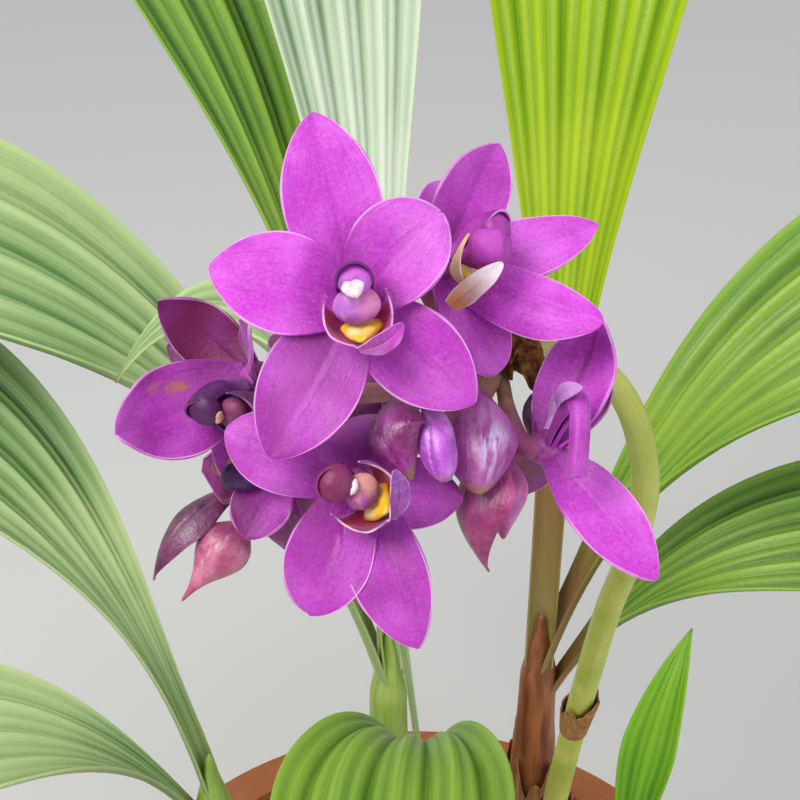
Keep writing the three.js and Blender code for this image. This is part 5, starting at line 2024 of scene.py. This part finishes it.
def make_mix(rng):
    """The mix: a lumpy body that fills the pot, covered in bark chips."""
    floor = POT["wall"] + SEAT_GAP
    edge = pot_outer(SOIL_TOP) - POT["wall"] - SEAT_GAP
    foot_edge = pot_outer(floor) - POT["wall"] - SEAT_GAP
    turns_up = MIX["turns_up"]

    def move(along, turn):
        if along < turns_up:
            return round_z(turn, foot_edge * along / turns_up, floor)
        flat = round_z(turn, edge * (1 - along) / (1 - turns_up))
        lumps = MIX["lumps"] * noise.noise(flat * 0.09)
        return flat + Vector((0, 0, SOIL_TOP - MIX["under_chips"] + lumps))

    skin = finish_of("bark_skin", bark_finish)
    body = rolled("mix_body", move, *GRIDS["mix"], skin)
    mark(body, "tone", MIX["tone"])
    shapes = chip_shapes(rng)
    parts = [body]
    middling = sizes().bark_chip / MM
    feet = [shoot["foot"] for shoot in SHOOTS.values()]
    clear = BULB["radius"] + CHIP["from_shoot"]
    for _ in range(sizes().bark_chips):
        distance = (edge - CHIP["from_rim"]) * math.sqrt(rng.random())
        turn = rng.uniform(0, 2 * math.pi)
        x, y = distance * math.cos(turn), distance * math.sin(turn)
        if min(math.hypot(x - fx, y - fy) for fx, fy in feet) < clear:
            continue
        long = middling * rng.uniform(*CHIP["long"])
        wide, thick = long * rng.uniform(*CHIP["wide"]), long * rng.uniform(*CHIP["thick"])
        tip, lean = [rng.uniform(-CHIP["lean"], CHIP["lean"]) for _ in range(2)]
        tilt = Matrix.Rotation(tip, 4, "X") @ Matrix.Rotation(lean, 4, "Y")
        spin = Matrix.Rotation(rng.uniform(0, 2 * math.pi), 4, "Z")
        place = Matrix.Translation((x, y, SOIL_TOP + rng.uniform(*CHIP["up"])))
        chip = bpy.data.objects.new("chip", rng.choice(shapes).data.copy())
        bpy.context.scene.collection.objects.link(chip)
        chip.data.transform(place @ tilt @ spin @ Matrix.Diagonal((long, wide, thick, 1)))
        chip.data.materials.append(skin)
        mark(chip, "tone", rng.random())
        parts.append(chip)
    for shape in shapes:
        bpy.data.objects.remove(shape)
    mix = joined("bark_mix", parts)
    bpy.ops.object.shade_smooth_by_angle(angle=math.radians(CREASE_ANGLES["chip"]))
    return mix


# Operators


class ORCHID_OT_pot(bpy.types.Operator):
    """Model the clay pot"""

    bl_idname = "orchid.add_pot"
    bl_label = "Pot"

    def execute(self, context):
        seat(make_pot(), "pot")
        return {"FINISHED"}


class ORCHID_OT_mix(bpy.types.Operator):
    """Model the bark mix in the pot"""

    bl_idname = "orchid.add_mix"
    bl_label = "Bark mix"

    def execute(self, context):
        seat(make_mix(random.Random(sizes().seed)), "potting_mix")
        return {"FINISHED"}


class ORCHID_OT_shoots(bpy.types.Operator):
    """Model the leafy shoots and their dry sheaths"""

    bl_idname = "orchid.add_shoots"
    bl_label = "Shoots"

    def execute(self, context):
        rng = random.Random(sizes().seed + 1)
        for name, shoot in SHOOTS.items():
            seat(make_shoot(f"shoot_{name}", shoot), f"shoot_{name}_leaves")
            seat(make_sheath(f"shoot_{name}", shoot, rng), f"shoot_{name}_sheath")
        return {"FINISHED"}


class ORCHID_OT_stem(bpy.types.Operator):
    """Model the flower stem"""

    bl_idname = "orchid.add_stem"
    bl_label = "Flower stem"

    def execute(self, context):
        seat(make_stem(), "flower_stem", HEAD)
        return {"FINISHED"}


class ORCHID_OT_blooms(bpy.types.Operator):
    """Model the open blooms, each with its tepals, column, lip and callus"""

    bl_idname = "orchid.add_blooms"
    bl_label = "Blooms"

    def execute(self, context):
        rng = random.Random(sizes().seed + 2)
        for kind, bloom in BLOOMS.items():
            name = f"bloom_{kind}"
            place = HEAD @ Matrix.Translation(bloom["centre"])
            throat = place @ throat_frame(bloom)
            seat(make_tepals(name, bloom, rng), f"{name}_tepals", place)
            smaller = Matrix.Scale(COLUMN_SCALE.get(kind, 1.0), 4)
            seat(make_column(name, kind), f"{name}_column", throat @ smaller)
            seat(make_lip(name, kind), f"{name}_lip", throat)
            seat(make_callus(name, kind), f"{name}_callus", throat)
        return {"FINISHED"}


class ORCHID_OT_buds(bpy.types.Operator):
    """Model the buds and their hooded bracts"""

    bl_idname = "orchid.add_buds"
    bl_label = "Buds and bracts"

    def execute(self, context):
        for kind, bud in BUDS.items():
            seat(make_bud(f"bud_{kind}", kind, bud), f"bud_{kind}", HEAD)
        for kind, bract in BRACTS.items():
            seat(make_bract(f"bract_{kind}", kind, bract), f"bract_{kind}", HEAD)
        return {"FINISHED"}


class ORCHID_OT_withered(bpy.types.Operator):
    """Model the dried early bloom"""

    bl_idname = "orchid.add_withered"
    bl_label = "Withered bloom"

    def execute(self, context):
        seat(make_withered(), "withered_bloom", HEAD)
        return {"FINISHED"}


def area_light(name, place, aim, across, watts, tone):
    """A soft square light."""
    light = bpy.data.lights.new(name, "AREA")
    light.size = across
    light.energy = watts
    light.color = tone
    lamp = bpy.data.objects.new(name, light)
    lamp.location = place
    lamp.rotation_euler = (aim - place).to_track_quat("-Z", "Y").to_euler()
    bpy.context.scene.collection.objects.link(lamp)


class ORCHID_OT_stage(bpy.types.Operator):
    """Set up the floor, the soft light and the camera"""

    bl_idname = "orchid.add_stage"
    bl_label = "Stage"

    def execute(self, context):
        deselect()
        bpy.ops.mesh.primitive_plane_add(size=FLOOR_SIZE)
        floor = context.active_object
        floor.name = floor.data.name = "floor"
        floor.data.materials.append(finish_of("floor", floor_finish))
        floor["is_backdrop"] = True
        scene = context.scene
        scene.view_settings.view_transform = "Standard"
        scene.world = scene.world or bpy.data.worlds.new("studio")
        scene.world.use_nodes = True
        for socket, value in SKY.items():
            scene.world.node_tree.nodes["Background"].inputs[socket].default_value = value
        head = HEAD_CENTRE * MM
        for name, (place, *look) in LIGHTS.items():
            area_light(name, head + Vector(place), head, *look)
        camera = bpy.data.objects.new("camera", bpy.data.cameras.new("camera"))
        camera.data.lens = LENS
        camera.data.clip_start = CLIP_START
        camera.location = (HEAD @ Vector((0, 0, CAMERA_DISTANCE))) * MM
        camera.rotation_euler = (math.pi / 2 - HEAD_LOOKS_UP, 0, 0)
        scene.collection.objects.link(camera)
        scene.camera = camera
        return {"FINISHED"}


class ORCHID_PT_panel(bpy.types.Panel):
    """The orchid's pieces, sizes and colours"""

    bl_idname = "ORCHID_PT_panel"
    bl_label = "Ground orchid"
    bl_space_type = "VIEW_3D"
    bl_region_type = "UI"
    bl_category = "Orchid"

    def draw(self, context):
        for operator in OPERATORS:
            self.layout.operator(operator.bl_idname)
        for settings in (context.scene.orchid_sizes, context.scene.orchid_colours):
            box = self.layout.box()
            for name in settings.bl_rna.properties.keys():
                if name not in ("rna_type", "name"):
                    box.prop(settings, name)


OPERATORS = (
    ORCHID_OT_pot,
    ORCHID_OT_mix,
    ORCHID_OT_shoots,
    ORCHID_OT_stem,
    ORCHID_OT_blooms,
    ORCHID_OT_buds,
    ORCHID_OT_withered,
    ORCHID_OT_stage,
)
CLASSES = (OrchidSizes, OrchidColours, *OPERATORS, ORCHID_PT_panel)


def register():
    """Registers the classes and their settings."""
    for kind in CLASSES:
        bpy.utils.register_class(kind)
    bpy.types.Scene.orchid_sizes = bpy.props.PointerProperty(type=OrchidSizes)
    bpy.types.Scene.orchid_colours = bpy.props.PointerProperty(type=OrchidColours)


def unregister():
    """Takes the settings and the classes away again."""
    del bpy.types.Scene.orchid_colours
    del bpy.types.Scene.orchid_sizes
    for kind in reversed(CLASSES):
        bpy.utils.unregister_class(kind)


def main():
    """Models the plant and its stage."""
    register()
    bpy.ops.orchid.add_pot()
    bpy.ops.orchid.add_mix()
    bpy.ops.orchid.add_shoots()
    bpy.ops.orchid.add_stem()
    bpy.ops.orchid.add_blooms()
    bpy.ops.orchid.add_buds()
    bpy.ops.orchid.add_withered()
    bpy.ops.orchid.add_stage()
    boxes = {"cad": CAD_BOUNDS, "visual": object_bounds()}
    {name: [list(corner) for corner in box] for name, box in boxes.items()}


if __name__ == "__main__":
    main()
